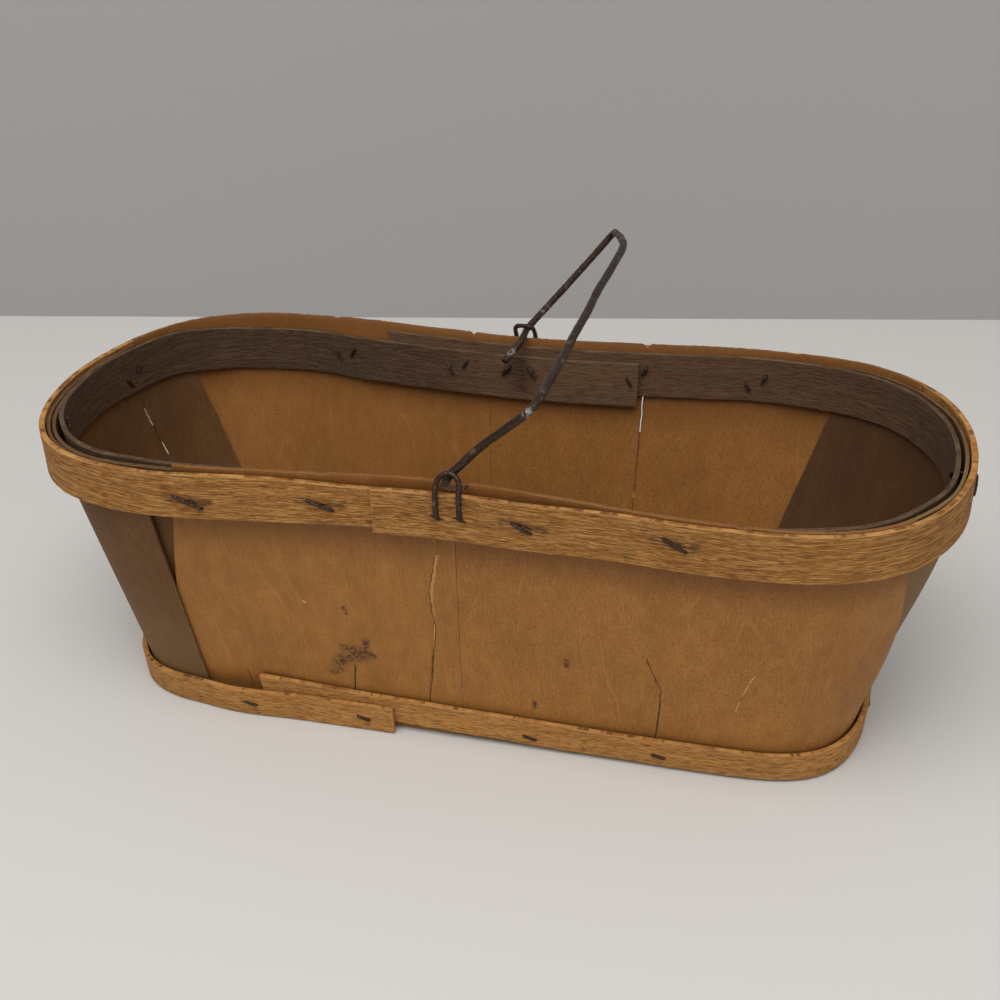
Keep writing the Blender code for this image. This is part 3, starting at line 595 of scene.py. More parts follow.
# Sockets of the node that mixes colours
MIX_FACTOR, MIX_UNDER, MIX_OVER, MIX_COLOUR = 0, 6, 7, 2
SMOOTH = {"interpolation_type": "SMOOTHSTEP"}
# How far a noise is shifted for each step of its seed
SEED_SHIFT = (3.1, 7.7, 1.3)
FIGURE_SHIFT = (5.3, 9.1, 0.0)
# Growth lines: spacing in mm, rings over the whole range of the noise, the line's share of a ring
FIGURE_SPACING = 9.0
FIGURE_RINGS = 11.0
FIGURE_LINE = (0.86, 0.98)
FIGURE_SLANTS = (0.06, -0.10, 0.05, -0.04)


def add_node(tree, kind, inputs=None, output=0, **values):
    """An output of a new node, with its settings made and its inputs set or linked."""
    node = tree.nodes.new("ShaderNode" + kind)
    for name, value in values.items():
        setattr(node, name, value)
    for key, value in (inputs or {}).items():
        socket = node.inputs[key]
        if isinstance(value, bpy.types.NodeSocket):
            tree.links.new(value, socket)
        else:
            socket.default_value = value
    return node.outputs[output]


def new_material(name, roughness, metallic=0.0):
    material = bpy.data.materials.new(name)
    material.use_nodes = True
    shader = material.node_tree.nodes["Principled BSDF"]
    shader.inputs["Roughness"].default_value = roughness
    shader.inputs["Metallic"].default_value = metallic
    if not metallic:
        shader.inputs["Specular IOR Level"].default_value = DULL_GLOSS
    return material, material.node_tree, shader


def place_millimetres(tree, waver=0.0, unrolled=True):
    """Places in millimetres, unrolled round the wall or within the piece, made to waver."""
    if unrolled:
        place = add_node(tree, "UVMap", uv_map="Place")
    else:
        place = add_node(tree, "TexCoord", output="Object")
    place = add_node(tree, "Mapping", {"Vector": place, "Scale": (MILLIMETRES,) * 3})
    if not waver:
        return place
    noise = add_node(tree, "TexNoise", {"Vector": place, "Scale": 0.35, "Detail": 3.0}, "Color")
    centred = add_node(tree, "VectorMath", {0: noise, 1: (0.5,) * 3}, operation="SUBTRACT")
    moved = {0: centred, 1: (waver,) * 3, 2: place}
    return add_node(tree, "VectorMath", moved, operation="MULTIPLY_ADD")


def streaks(tree, place, size, low, high, seed, detail=2.0, distortion=0.0):
    """0 to 1 mask of marks of a size in mm, a noise squeezed between two of its levels."""
    scale = [1 / part for part in size] + [1 / size[-1]] * (3 - len(size))
    shift = [seed * part for part in SEED_SHIFT]
    scaled = add_node(tree, "Mapping", {"Vector": place, "Location": shift, "Scale": scale})
    inputs = {"Vector": scaled, "Scale": 1.0, "Detail": detail, "Distortion": distortion}
    noise = add_node(tree, "TexNoise", inputs)
    return add_node(tree, "MapRange", {"Value": noise, "From Min": low, "From Max": high}, **SMOOTH)


def level_mask(tree, place, low, high, axis="Y"):
    """0 to 1 between two heights in mm, the same on both faces, or between two places along."""
    part = add_node(tree, "SeparateXYZ", {0: place}, axis)
    if axis == "Y":
        both_faces = {0: part, 1: INNER_FACE_SHIFT * MILLIMETRES}
        part = add_node(tree, "Math", both_faces, operation="MODULO")
    return add_node(tree, "MapRange", {"Value": part, "From Min": low, "From Max": high}, **SMOOTH)


def inner_mask(tree, place):
    """1 on the inner face, whose places lie a metre higher."""
    inputs = {
        0: add_node(tree, "SeparateXYZ", {0: place}, "Y"),
        1: INNER_FACE_SHIFT * MILLIMETRES / 2,
    }
    return add_node(tree, "Math", inputs, operation="GREATER_THAN")


def figure_lines(tree, place, seed, slant):
    """Thin lines of the growth rings, where the knife cut through them at a slant."""
    across = 1 / FIGURE_SPACING
    inputs = {
        "Vector": place,
        "Location": [seed * part for part in FIGURE_SHIFT],
        "Rotation": (0.0, 0.0, slant),
        "Scale": (across, across / 6, across),
    }
    scaled = add_node(tree, "Mapping", inputs)
    inputs = {"Vector": scaled, "Scale": 0.30, "Detail": 1.5, "Roughness": 0.4}
    noise = add_node(tree, "TexNoise", inputs)
    rings = add_node(tree, "Math", {0: noise, 1: FIGURE_RINGS}, operation="MULTIPLY")
    ring = add_node(tree, "Math", {0: rings}, operation="FRACT")
    low, high = FIGURE_LINE
    line = add_node(tree, "MapRange", {"Value": ring, "From Min": low, "From Max": high}, **SMOOTH)
    shown = streaks(tree, place, (16.0, 26.0), 0.48, 0.64, seed + 3)
    return add_node(tree, "Math", {0: line, 1: shown}, operation="MULTIPLY")


def stroke_mask(tree, place, strokes, soft):
    """0 to 1 where a stroke lies: each goes from one place to another in mm, with a half width."""
    total = None
    for start, end, half in strokes:
        along = [float(far - near) for near, far in zip(start, end)]
        square = max(sum(part * part for part in along), 1e-6)
        step = [part / square for part in along]
        offset = add_node(tree, "VectorMath", {0: place, 1: start}, operation="SUBTRACT")
        share = add_node(tree, "VectorMath", {0: offset, 1: step}, "Value", operation="DOT_PRODUCT")
        held = add_node(tree, "Math", {0: share, 1: 0.0}, operation="ADD", use_clamp=True)
        near = add_node(tree, "VectorMath", {0: along, "Scale": held}, operation="SCALE")
        gap = add_node(tree, "VectorMath", {0: offset, 1: near}, "Value", operation="DISTANCE")
        levels = {"Value": gap, "From Min": half * (1 + soft), "From Max": half * (1 - soft)}
        mask = add_node(tree, "MapRange", levels, **SMOOTH)
        if total is not None:
            mask = add_node(tree, "Math", {0: total, 1: mask}, operation="MAXIMUM")
        total = mask
    return total


def lay_surface(tree, shader, base, layers, relief, rough_mask, rough_levels):
    """Lays colours over a base, raises them, and sets the roughness between two levels.

    Each layer is a mask, how strong its colour is, the colour, and its height as a share of the
    relief, which is in metres.
    """
    colour, height = (*base, 1.0), 0.0
    for mask, strength, over, weight in layers:
        if mask is None:
            continue
        factor = add_node(tree, "Math", {0: mask, 1: strength}, operation="MULTIPLY")
        inputs = {MIX_FACTOR: factor, MIX_UNDER: colour, MIX_OVER: (*over, 1.0)}
        colour = add_node(tree, "Mix", inputs, MIX_COLOUR, data_type="RGBA")
        if weight:
            inputs = {0: mask, 1: weight, 2: height}
            height = add_node(tree, "Math", inputs, operation="MULTIPLY_ADD")
    normal = add_node(tree, "Bump", {"Height": height, "Distance": relief, "Strength": 1.0})
    low, high = rough_levels
    rough = add_node(tree, "MapRange", {"Value": rough_mask, "To Min": low, "To Max": high})
    for name, value in (("Base Color", colour), ("Normal", normal), ("Roughness", rough)):
        tree.links.new(value, shader.inputs[name])


def stained_veneer(name, marks, seed, slant):
    """Rotary-cut poplar veneer, stained orange-brown: smooth and dull, with faint upright grain."""
    wood = bpy.context.scene.basket_wood
    dark, light = wood.side_dark, wood.side_light
    material, tree, shader = new_material(name, 0.6)
    place, wavering = place_millimetres(tree), place_millimetres(tree, VENEER_WAVER)
    grain = partial(streaks, tree, place)
    fibre = grain((0.42, 7.0), 0.35, 0.70, seed + 3, 3.0)
    stain = dots = stroke_mask(tree, wavering, marks["stain"], 0.95)
    if stain is not None:
        inputs = {0: stain, 1: grain((1.7, 1.5), 0.44, 0.53, seed + 9, 5.0, 1.0)}
        dots = add_node(tree, "Math", inputs, operation="MULTIPLY")
    layers = [
        # Blotches, clouds and upright bands
        (grain((30.0, 42.0), 0.34, 0.68, seed, 3.0), 0.24, dark, 0),
        (grain((6.0, 9.0), 0.35, 0.70, seed + 1, 5.0), 0.30, light, 0),
        (grain((6.0, 130.0), 0.38, 0.66, seed + 2), 0.09, dark, 0),
        # Fibres, flecks, growth lines, a rubbed stretch, pores and dirt
        (fibre, 0.26, light, 0.5),
        (grain((0.5, 0.8), 0.42, 0.66, seed + 8, 3.0), 0.46, dark, 0),
        (figure_lines(tree, place, seed + 5, slant), 0.36, light, 0.25),
        (stroke_mask(tree, wavering, marks["pale"], 0.6), 0.45, light, 0),
        (grain((0.32, 1.3), 0.68, 0.78, seed + 4, 1.0), 0.52, dark, -0.8),
        (grain((2.6, 4.0), 0.72, 0.84, seed + 7, 4.0), 0.30, dark, 0),
        # Painted shade, partly also dirt, under the band, painted shade over the hoop, and the
        # darker inner face
        (level_mask(tree, place, 80.0, 100.0), 0.60, dark, 0),
        (level_mask(tree, place, 22.0, 12.0), 0.30, dark, 0),
        (inner_mask(tree, place), 0.24, dark, 0),
        # Dust, iron stain, torn wood, scratches, and cracks together with painted shade in the eye
        # notches
        (grain((0.45, 0.5), 0.79, 0.84, seed + 6, 1.0), 0.30, linear("#d8c3a2"), 0),
        (stain, 0.36, linear("#4d3320"), 0),
        (dots, 0.80, wood.stain_colour, 0),
        (stroke_mask(tree, wavering, marks["raw"], 0.30), 0.85, wood.raw_colour, -0.8),
        (stroke_mask(tree, wavering, marks["scratch"], 0.5), 0.60, linear("#dcc49a"), 0),
        (stroke_mask(tree, wavering, marks["dark"], 0.45), 0.92, linear("#2a170b"), -2.0),
    ]
    lay_surface(tree, shader, wood.side_colour, layers, 0.00010, fibre, (0.70, 0.58))
    return material


def weathered_veneer(name, marks, seed, inside_dark):
    """Bare poplar veneer gone grey-brown with age: dull, with darker upright grain and bloom."""
    wood = bpy.context.scene.basket_wood
    dark, light = wood.end_dark, wood.end_light
    material, tree, shader = new_material(name, 0.75)
    place, wavering = place_millimetres(tree), place_millimetres(tree, VENEER_WAVER)
    grain = partial(streaks, tree, place)
    fibre = grain((0.40, 6.0), 0.35, 0.68, seed + 2, 3.0)
    layers = [
        # Blotches, upright bands and bloom
        (grain((24.0, 40.0), 0.32, 0.70, seed, 3.0), 0.35, dark, 0),
        (grain((5.0, 120.0), 0.36, 0.66, seed + 1), 0.16, dark, 0),
        (grain((8.0, 12.0), 0.50, 0.80, seed + 4, 5.0), 0.18, light, 0),
        # Fibres, flecks and pores
        (fibre, 0.14, light, 0.6),
        (grain((0.6, 0.9), 0.42, 0.66, seed + 8, 3.0), 0.34, dark, 0),
        (grain((0.32, 1.4), 0.66, 0.78, seed + 3, 1.0), 0.40, dark, -0.8),
        # Paler foot and stretches, and the darker inner face
        (level_mask(tree, place, 75.0, 20.0), 0.44, light, 0),
        (stroke_mask(tree, place, marks["pale"], 0.7), 0.75, light, 0),
        (inner_mask(tree, place), inside_dark, linear("#2f1d10"), 0),
        # Dust, torn wood and cracks
        (grain((0.45, 0.5), 0.77, 0.83, seed + 5, 1.0), 0.30, linear("#a8926f"), 0),
        (stroke_mask(tree, wavering, marks["raw"], 0.30), 0.95, linear("#e6d8bc"), 0),
        (stroke_mask(tree, wavering, marks["dark"], 0.45), 0.92, linear("#140c07"), -2.0),
    ]
    lay_surface(tree, shader, wood.end_colour, layers, 0.00012, fibre, (0.82, 0.70))
    return material


def sawn_wood(name, colours, seed, marks, relief, contrast, painted_shades=(), lap=None):
    """Wood sawn rough along its grain: short raised fibres with dark pits between them.

    The colours are the wood's own, its pits' and its fibres'. Painted shades, darker where less
    light falls, lie between two places along and have a strength. The lap is where the paler end
    comes in.
    """
    wood = bpy.context.scene.basket_wood
    base, dark, light = colours
    material, tree, shader = new_material(name, 0.8)
    place, wavering = place_millimetres(tree), place_millimetres(tree, BAND_WAVER)
    grain = partial(streaks, tree, place)
    fibre = grain((9.0, 0.48), 0.42, 0.62, seed + 2, 4.0, 0.4)
    stain = {
        0: stroke_mask(tree, wavering, marks["stain"], 0.95),
        1: grain((3.5, 0.40), 0.30, 0.58, seed + 6, 3.0),
    }
    layers = [
        # painted shades, darker where less light falls
        *((level_mask(tree, place, low, high, "X"), share, dark, 0) for low, high, share in painted_shades),
        (lap and level_mask(tree, place, *lap, "X"), 1.0, wood.lap_colour, 0),
        # Blotches and bands, fibres long and short, pits and dust
        (grain((60.0, 12.0), 0.32, 0.70, seed, 3.0), 0.26 * contrast, dark, 0),
        (grain((80.0, 2.2), 0.36, 0.66, seed + 1), 0.25 * contrast, dark, 0),
        (fibre, 0.46 * contrast, light, 0.7),
        (grain((4.2, 0.36), 0.48, 0.62, seed + 3, 3.0, 0.4), 0.42 * contrast, light, 0.6),
        (grain((5.0, 0.36), 0.55, 0.66, seed + 4), 0.62 * contrast, dark, -0.8),
        (grain((0.5, 0.4), 0.72, 0.78, seed + 5, 1.0), 0.35 * contrast, light, 0),
        # Iron stain and splits at the staples, and on the inner band a darker patch below the bail's
        # hook
        (add_node(tree, "Math", stain, operation="MULTIPLY"), 0.72, wood.stain_colour, 0),
        (stroke_mask(tree, wavering, marks["dark"], 0.5), 0.90, linear("#1a0f0b"), -1.5),
    ]
    lay_surface(tree, shader, base, layers, relief, fibre, (0.88, 0.76))
    return material


def cut_edge_wood(name, base, over, seed):
    """The cut edge of a thin sheet or band: fine lines along it, dark with handling."""
    material, tree, shader = new_material(name, 0.8)
    grain = partial(streaks, tree, place_millimetres(tree, unrolled=False))
    patch = grain((14.0, 14.0, 9.0), 0.38, 0.66, seed, 4.0)
    fine = grain((1.1, 1.1, 0.5), 0.40, 0.66, seed + 1, 3.0)
    layers = [(patch, 0.75, linear(over), 0), (fine, 0.35, linear(over), 1.0)]
    lay_surface(tree, shader, linear(base), layers, 0.00012, patch, (0.85, 0.7))
    return material


def board_wood():
    """Planed softwood board: growth lines along its length, dusty and stained with fruit juice."""
    wood = bpy.context.scene.basket_wood
    material, tree, shader = new_material("planed_pine_board", 0.7)
    grain = partial(streaks, tree, place_millimetres(tree, unrolled=False))
    fine = grain((22.0, 0.55, 1.2), 0.36, 0.66, 7.0, 3.0)
    layers = [
        # Blotches, growth rings, fibres, pores and juice spots
        (grain((55.0, 30.0, 30.0), 0.35, 0.70, 3.0, 4.0), 0.35, linear("#6b4b2c"), 0),
        (grain((180.0, 3.2, 6.0), 0.42, 0.62, 5.0, 2.0, 0.3), 0.45, linear("#70502f"), 0.5),
        (fine, 0.28, linear("#b08f63"), 0.5),
        (grain((4.0, 0.35, 0.6), 0.62, 0.74, 9.0), 0.45, linear("#4c3320"), -0.7),
        (grain((14.0, 11.0, 11.0), 0.62, 0.74, 11.0, 5.0), 0.35, linear("#51382a"), 0),
    ]
    lay_surface(tree, shader, wood.board_colour, layers, 0.00012, fine, (0.78, 0.62))
    return material


def dark_wire(name, rust_amount, seed, painted_glints=()):
    """Drawn steel wire under black oxide, worn bare in places and rusting brown in others, with
    painted highlights at the given spots.
    """
    wire = bpy.context.scene.basket_wire
    material, tree, shader = new_material(name, 0.45, 0.55)
    place = place_millimetres(tree, unrolled=False)
    grain = partial(streaks, tree, place)
    rust = grain((5.0,), 0.46, 0.66, seed, 5.0)
    spots = [tuple(float(part) * MILLIMETRES for part in point) for point in painted_glints]
    glint_mask = stroke_mask(tree, place, [(spot, spot, PAINTED_GLINT_HALF) for spot in spots], 0.5)
    if glint_mask is not None:
        inputs = {0: glint_mask, 1: grain((1.6,), 0.44, 0.56, seed + 3, 4.0)}
        glint_mask = add_node(tree, "Math", inputs, operation="MULTIPLY")
    layers = [
        (rust, rust_amount, wire.wire_rust, 0.6),
        (grain((0.8,), 0.44, 0.62, seed + 2, 4.0), 0.45, linear("#1b120d"), 1.0),
        (grain((5.0,), 0.62, 0.74, seed + 1, 3.0), 0.34, wire.wire_worn, 0),
        # painted highlights at the given spots
        (glint_mask, 0.75, linear("#b8b0a7"), 0),
    ]
    lay_surface(tree, shader, wire.wire_colour, layers, 0.00016, rust, (0.34, 0.62))
    return material


# Pieces


def deselect_all():
    if bpy.context.object and bpy.context.object.mode != "OBJECT":
        bpy.ops.object.mode_set(mode="OBJECT")
    bpy.ops.object.select_all(action="DESELECT")


def take_up(obj):
    """Makes an object the only one that is selected, and active."""
    deselect_all()
    obj.select_set(True)
    bpy.context.view_layer.objects.active = obj


def apply_modifier(obj, kind, **values):
    modifier = obj.modifiers.new(kind.lower(), kind)
    for name, value in values.items():
        setattr(modifier, name, value)
    bpy.ops.object.modifier_apply(modifier=modifier.name)


def hand_over(obj, body, node):
    """Says which body carries a piece and which solid it replaces."""
    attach(obj, body)
    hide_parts(node)


def read_values(items, name, width=1, kind=int):
    """A property of all items of a mesh as an array, with a row for each item."""
    values = np.empty(len(items) * width, kind)
    items.foreach_get(name, values)
    return values.reshape(-1, width) if width > 1 else values


def set_points(mesh, points):
    mesh.vertices.foreach_set("co", np.asarray(points, float).ravel())
    mesh.update()


def add_wood_strip(name, columns, rows, middle, thickness, faces, slits=()):
    """A thin wood strip.

    A grid is laid on middle(u, v), which gives points and places for column and row shares, slits
    are opened in it, and it is thickened. Then faces(place, side) gives what each face point of the
    outer side (1) or inner side (-1) is raised by.
    """
    deselect_all()
    bpy.ops.mesh.primitive_grid_add(x_subdivisions=columns, y_subdivisions=rows, size=2.0)
    obj = bpy.context.object
    obj.name = obj.data.name = name
    mesh = obj.data
    flat = read_values(mesh.vertices, "co", 3, float)
    column = np.rint((flat[:, 0] + 1) / 2 * columns)
    row = np.rint((flat[:, 1] + 1) / 2 * rows)
    points, place = middle(column, row)
    set_points(mesh, points)
    loops = read_values(mesh.loops, "vertex_index")
    mesh.uv_layers[0].name = "Place"
    mesh.uv_layers["Place"].uv.foreach_set("vector", place[loops].ravel())
    number = mesh.attributes.new("grid_point", "INT", "POINT")
    number.data.foreach_set("value", np.arange(len(mesh.vertices)))
    for slit in slits:
        open_slit(obj, column, row, *slit)
    take_up(obj)
    apply_modifier(
        obj,
        "SOLIDIFY",
        thickness=thickness,
        offset=0.0,
        use_even_offset=True,
        material_offset_rim=CUT_WOOD,
    )
    shape_faces(obj.data, points, place, faces)
    return obj


def open_slit(obj, column, row, slit_column, first_row, last_row):
    """Deletes the faces between two columns over some rows, so that the slit goes through."""
    mesh = obj.data
    take_up(obj)
    bpy.ops.object.mode_set(mode="EDIT")
    bpy.ops.mesh.select_all(action="DESELECT")
    bpy.ops.object.mode_set(mode="OBJECT")
    number = read_values(mesh.attributes["grid_point"].data, "value")
    for polygon in mesh.polygons:
        corners = number[list(polygon.vertices)]
        columns, rows = column[corners], row[corners]
        across = slit_column <= columns.min() and columns.max() <= slit_column + 1
        polygon.select = bool(across and first_row <= rows.min() and rows.max() <= last_row)
    bpy.ops.object.mode_set(mode="EDIT")
    bpy.ops.mesh.select_mode(type="FACE")
    bpy.ops.mesh.delete(type="FACE")
    bpy.ops.object.mode_set(mode="OBJECT")


def shape_faces(mesh, grid_points, grid_place, faces):
    """Raises the points of both faces, and moves the inner face's places a metre up."""
    number = read_values(mesh.attributes["grid_point"].data, "value")
    points = read_values(mesh.vertices, "co", 3, float)
    away = points - grid_points[number]
    out = outward_at(points, grid_place[number])
    side = np.where((away * out).sum(1) > 0, 1.0, -1.0)
    step = away / np.maximum(np.linalg.norm(away, axis=1, keepdims=True), 1e-9)
    set_points(mesh, points + step * faces(grid_place[number], side)[:, None])
    loops = read_values(mesh.loops, "vertex_index")
    starts = read_values(mesh.polygons, "loop_start")
    totals = read_values(mesh.polygons, "loop_total")
    slots = read_values(mesh.polygons, "material_index")
    polygon_side = np.add.reduceat(side[loops], starts) / totals
    shift = np.where((polygon_side < -0.5) & (slots == FACE_WOOD), INNER_FACE_SHIFT, 0.0)
    layer = mesh.uv_layers["Place"].uv
    place = read_values(layer, "vector", 2, float)
    place[:, 1] += np.repeat(shift, totals)
    layer.foreach_set("vector", place.ravel())


def outward_at(points, place):
    """The level direction out of the wall at places along it."""
    way = np.mod(place[:, 0], ROUND_WAY[-1])
    turn = np.interp(way, ROUND_WAY, ROUND_TURNS)
    out = outward_xy(turn, np.clip(points[:, 2], 0.0, RIM_HEIGHT))
    return np.concatenate([out, np.zeros((len(points), 1))], 1)


def finish_strip(obj, edge_round, materials, node):
    """Rounds the worn edges, smooths the faces, and gives the strip its wood."""
    take_up(obj)
    obj.data.attributes.remove(obj.data.attributes["grid_point"])
    for material in materials:
        obj.data.materials.append(material)
    apply_modifier(
        obj,
        "BEVEL",
        width=edge_round,
        segments=2,
        limit_method="ANGLE",
        angle_limit=math.radians(60),
        material=CUT_WOOD,
        harden_normals=False,
    )
    bpy.ops.object.shade_smooth_by_angle(angle=math.radians(50))
    hand_over(obj, "basket", node)


def sheet_wave(place):
    """How the thin sheets buckle between the bands: the same for all layers, so none cross."""
    way, z = place[..., 0] * MILLIMETRES, place[..., 1] * MILLIMETRES
    free = smooth_step((z - 14.0) / 16.0) * smooth_step((100.0 - z) / 16.0)
    wave = value_noise(way / 38.0, z / 70.0, 2.0) + 0.4 * value_noise(way / 15.0, z / 60.0, 5.0)
    return bpy.context.scene.basket_wood.sheet_wave * wave * free


# Cracks and splits of each sheet: turn and height in mm of points down the crack, half width in mm,
# and the heights in mm between which it goes right through
CRACKS = {
    "front_left_sheet": (
        (
            ((3.987, 101.0), (3.987, 97.3), (3.983, 87.6), (3.969, 72.5))
            + ((3.969, 53.0), (3.961, 40.4), (3.948, 17.7), (3.947, 8.0)),
            0.30,
            None,
        ),
        (((3.846, 31.0), (3.842, 28.0), (3.834, 15.9), (3.834, 8.0)), 0.18, None),
    ),
    "front_right_sheet": (
        (
            ((0.252, 57.0), (0.256, 54.6), (0.268, 46.0))
            + ((0.278, 39.6), (0.276, 22.0), (0.274, 8.0)),
            0.20,
            None,
        ),
    ),
    "back_right_sheet": (
        (
            ((1.8315, 119.0), (1.8315, 100.4), (1.8315, 88.0))
            + ((1.833, 70.0), (1.834, 57.8), (1.834, 30.0)),
            0.24,
            (86.0, 101.5),
        ),
    ),
    "back_left_sheet": ((((2.096, 122.0), (2.096, 118.0), (2.097, 111.0)), 0.20, None),),
    "left_lining": (
        (((2.869, 94.0), (2.866, 92.2), (2.853, 81.0), (2.840, 69.7), (2.838, 62.0)), 0.20, None),
    ),
}
# Cracks, in metres: waver, depth of the groove, height of the lip and the fade at the ends
CRACK_WAVER = 0.00018
CRACK_DEPTH = 0.00048
CRACK_LIP = 0.00010
CRACK_FADE = 0.004
# Half width of the faces beside a crack, as a multiple of its own
CRACK_SPREAD = 1.6
# Heights in metres over which a sheet's top rises or drops, and over which its edge is ragged
RISE_HEIGHT = 0.012
RAGGED_HEIGHT = 0.004

# Nicks in the sheets' top edges: turn, half width and depth in metres
TOP_NICKS = {
    "back_left_sheet": ((2.096, 0.00036, 0.0018), (2.31, 0.0012, 0.0006)),
    "back_right_sheet": ((1.8315, 0.00036, 0.0020), (1.62, 0.0015, 0.0005)),
    "front_left_sheet": ((4.011, 0.0030, 0.0034), (3.85, 0.0012, 0.0006)),
    "front_right_sheet": ((0.022, 0.0022, 0.0034), (0.36, 0.0015, 0.0006)),
}


def crack_way(points, z):
    """Metres round the wall to a crack at heights in metres."""
    turns, heights = np.array(points[::-1]).T
    ways = way_round(np.interp(z, heights / MILLIMETRES, turns))
    return ways + CRACK_WAVER * value_noise(z * MILLIMETRES / 3.2, 0.0, turns[-1] * 10)


def turn_at_way(way):
    """The turn at metres round the wall, also past a whole round."""
    rounds = np.floor(way / ROUND_WAY[-1])
    return rounds * QUARTERS + np.interp(way - rounds * ROUND_WAY[-1], ROUND_WAY, ROUND_TURNS)


def build_sheet(name, node, layer, rim, base, rises, materials):
    """One wood sheet between two slanting edges, with its cracks, worn edges and buckles."""
    wood = bpy.context.scene.basket_wood
    rise = SIDE_SHEET_RISE if layer == 0 else -END_SHEET_DROP
    tall = RIM_HEIGHT - SHEET_FLOOR_GAP
    rows = round(tall / wood.sheet_row)
    width = float(way_round(max(rim[1], base[1])) - way_round(min(rim[0], base[0])))
    columns = round(width / wood.sheet_cell)
    cracks = CRACKS.get(name, ())
    seed = 10.0 + len(name) + 7 * layer

    def edge_ways(z):
        start, end = sheet_edges(rim, base, z / RIM_HEIGHT)
        start = start + SEAM_GAP / 2 * turns_per_metre(start, z)
        end = end - SEAM_GAP / 2 * turns_per_metre(end, z)
        return way_round(start), way_round(end)

    placed, slits = [], []
    for points, half, through in cracks:
        height = np.array(np.mean([height for _, height in points]) / MILLIMETRES)
        first, last = edge_ways(height)
        at = round(float((crack_way(points, height) - first) / (last - first)) * columns)
        placed.append((at, points, half))
        if through:
            ends = ((end / MILLIMETRES - SHEET_FLOOR_GAP) / tall * rows for end in through)
            slits.append((at, *(round(end) for end in ends)))
    placed.sort()

    def middle(column, row):
        z = SHEET_FLOOR_GAP + tall * row / rows
        first, last = edge_ways(z)
        fray = wood.edge_fray * 0.12
        first = first + fray * value_noise(z * 400, 0.0, seed)
        last = last + fray * value_noise(z * 400, 0.0, seed + 3)
        knots = [(0, first)]
        for at, points, half in placed:
            way = crack_way(points, z)
            reach = half / MILLIMETRES * CRACK_SPREAD
            knots += [(at - 1, way - reach), (at, way), (at + 1, way + reach)]
        knots.append((columns, last))
        way = np.zeros_like(z)
        for (near, near_way), (far, far_way) in zip(knots, knots[1:]):
            share = np.clip((column - near) / max(far - near, 1e-9), 0.0, 1.0)
            way = np.where(column >= near, near_way + (far_way - near_way) * share, way)
        turn = turn_at_way(way)
        height = z - rim_drop(turn) * z / RIM_HEIGHT
        high = rise * (rises[0] + (rises[1] - rises[0]) * column / columns)
        height = height + high * np.clip((z - RIM_HEIGHT + RISE_HEIGHT) / RISE_HEIGHT, 0.0, 1.0)
        at_top = smooth_step((z - RIM_HEIGHT + RAGGED_HEIGHT) / RAGGED_HEIGHT)
        ragged = value_noise(way * 60, 0.0, seed + 6) + 0.8 * value_noise(way * 900, 0.0, 4.0)
        height = height - at_top * wood.edge_fray * (0.6 + ragged)
        for nick_turn, nick_half, nick_depth in TOP_NICKS.get(name, ()):
            away = np.abs(way - way_round(nick_turn)) / nick_half
            height = height - at_top * nick_depth * smooth_step(1.6 - away)
        place = np.stack([way, height], -1)
        depth = sheet_depth(layer, turn, height) + sheet_wave(place)
        return wall_points(turn, height, depth), place

    def faces(place, side):
        way, z = place[:, 0], place[:, 1]
        raised = 0.00003 * value_noise(way * 900, z * 60, seed + 8 + side)
        for points, half, _ in cracks:
            top, foot = (points[at][1] / MILLIMETRES for at in (0, -1))
            inside = smooth_step((z - foot) / CRACK_FADE) * smooth_step((top - z) / CRACK_FADE)
            crack = crack_way(points, z)
            away = np.abs(way - crack) * MILLIMETRES
            raised = raised - CRACK_DEPTH * smooth_step(1 - away / (half * 1.5)) * inside
            lip = (way > crack) * np.exp(-away / 7.0) * (away > half)
            raised = raised + CRACK_LIP * lip * inside * side
        return raised

    obj = add_wood_strip(name, columns, rows, middle, SHEET_THICKNESS, faces, slits)
    finish_strip(obj, wood.edge_round * 0.5, materials, node)


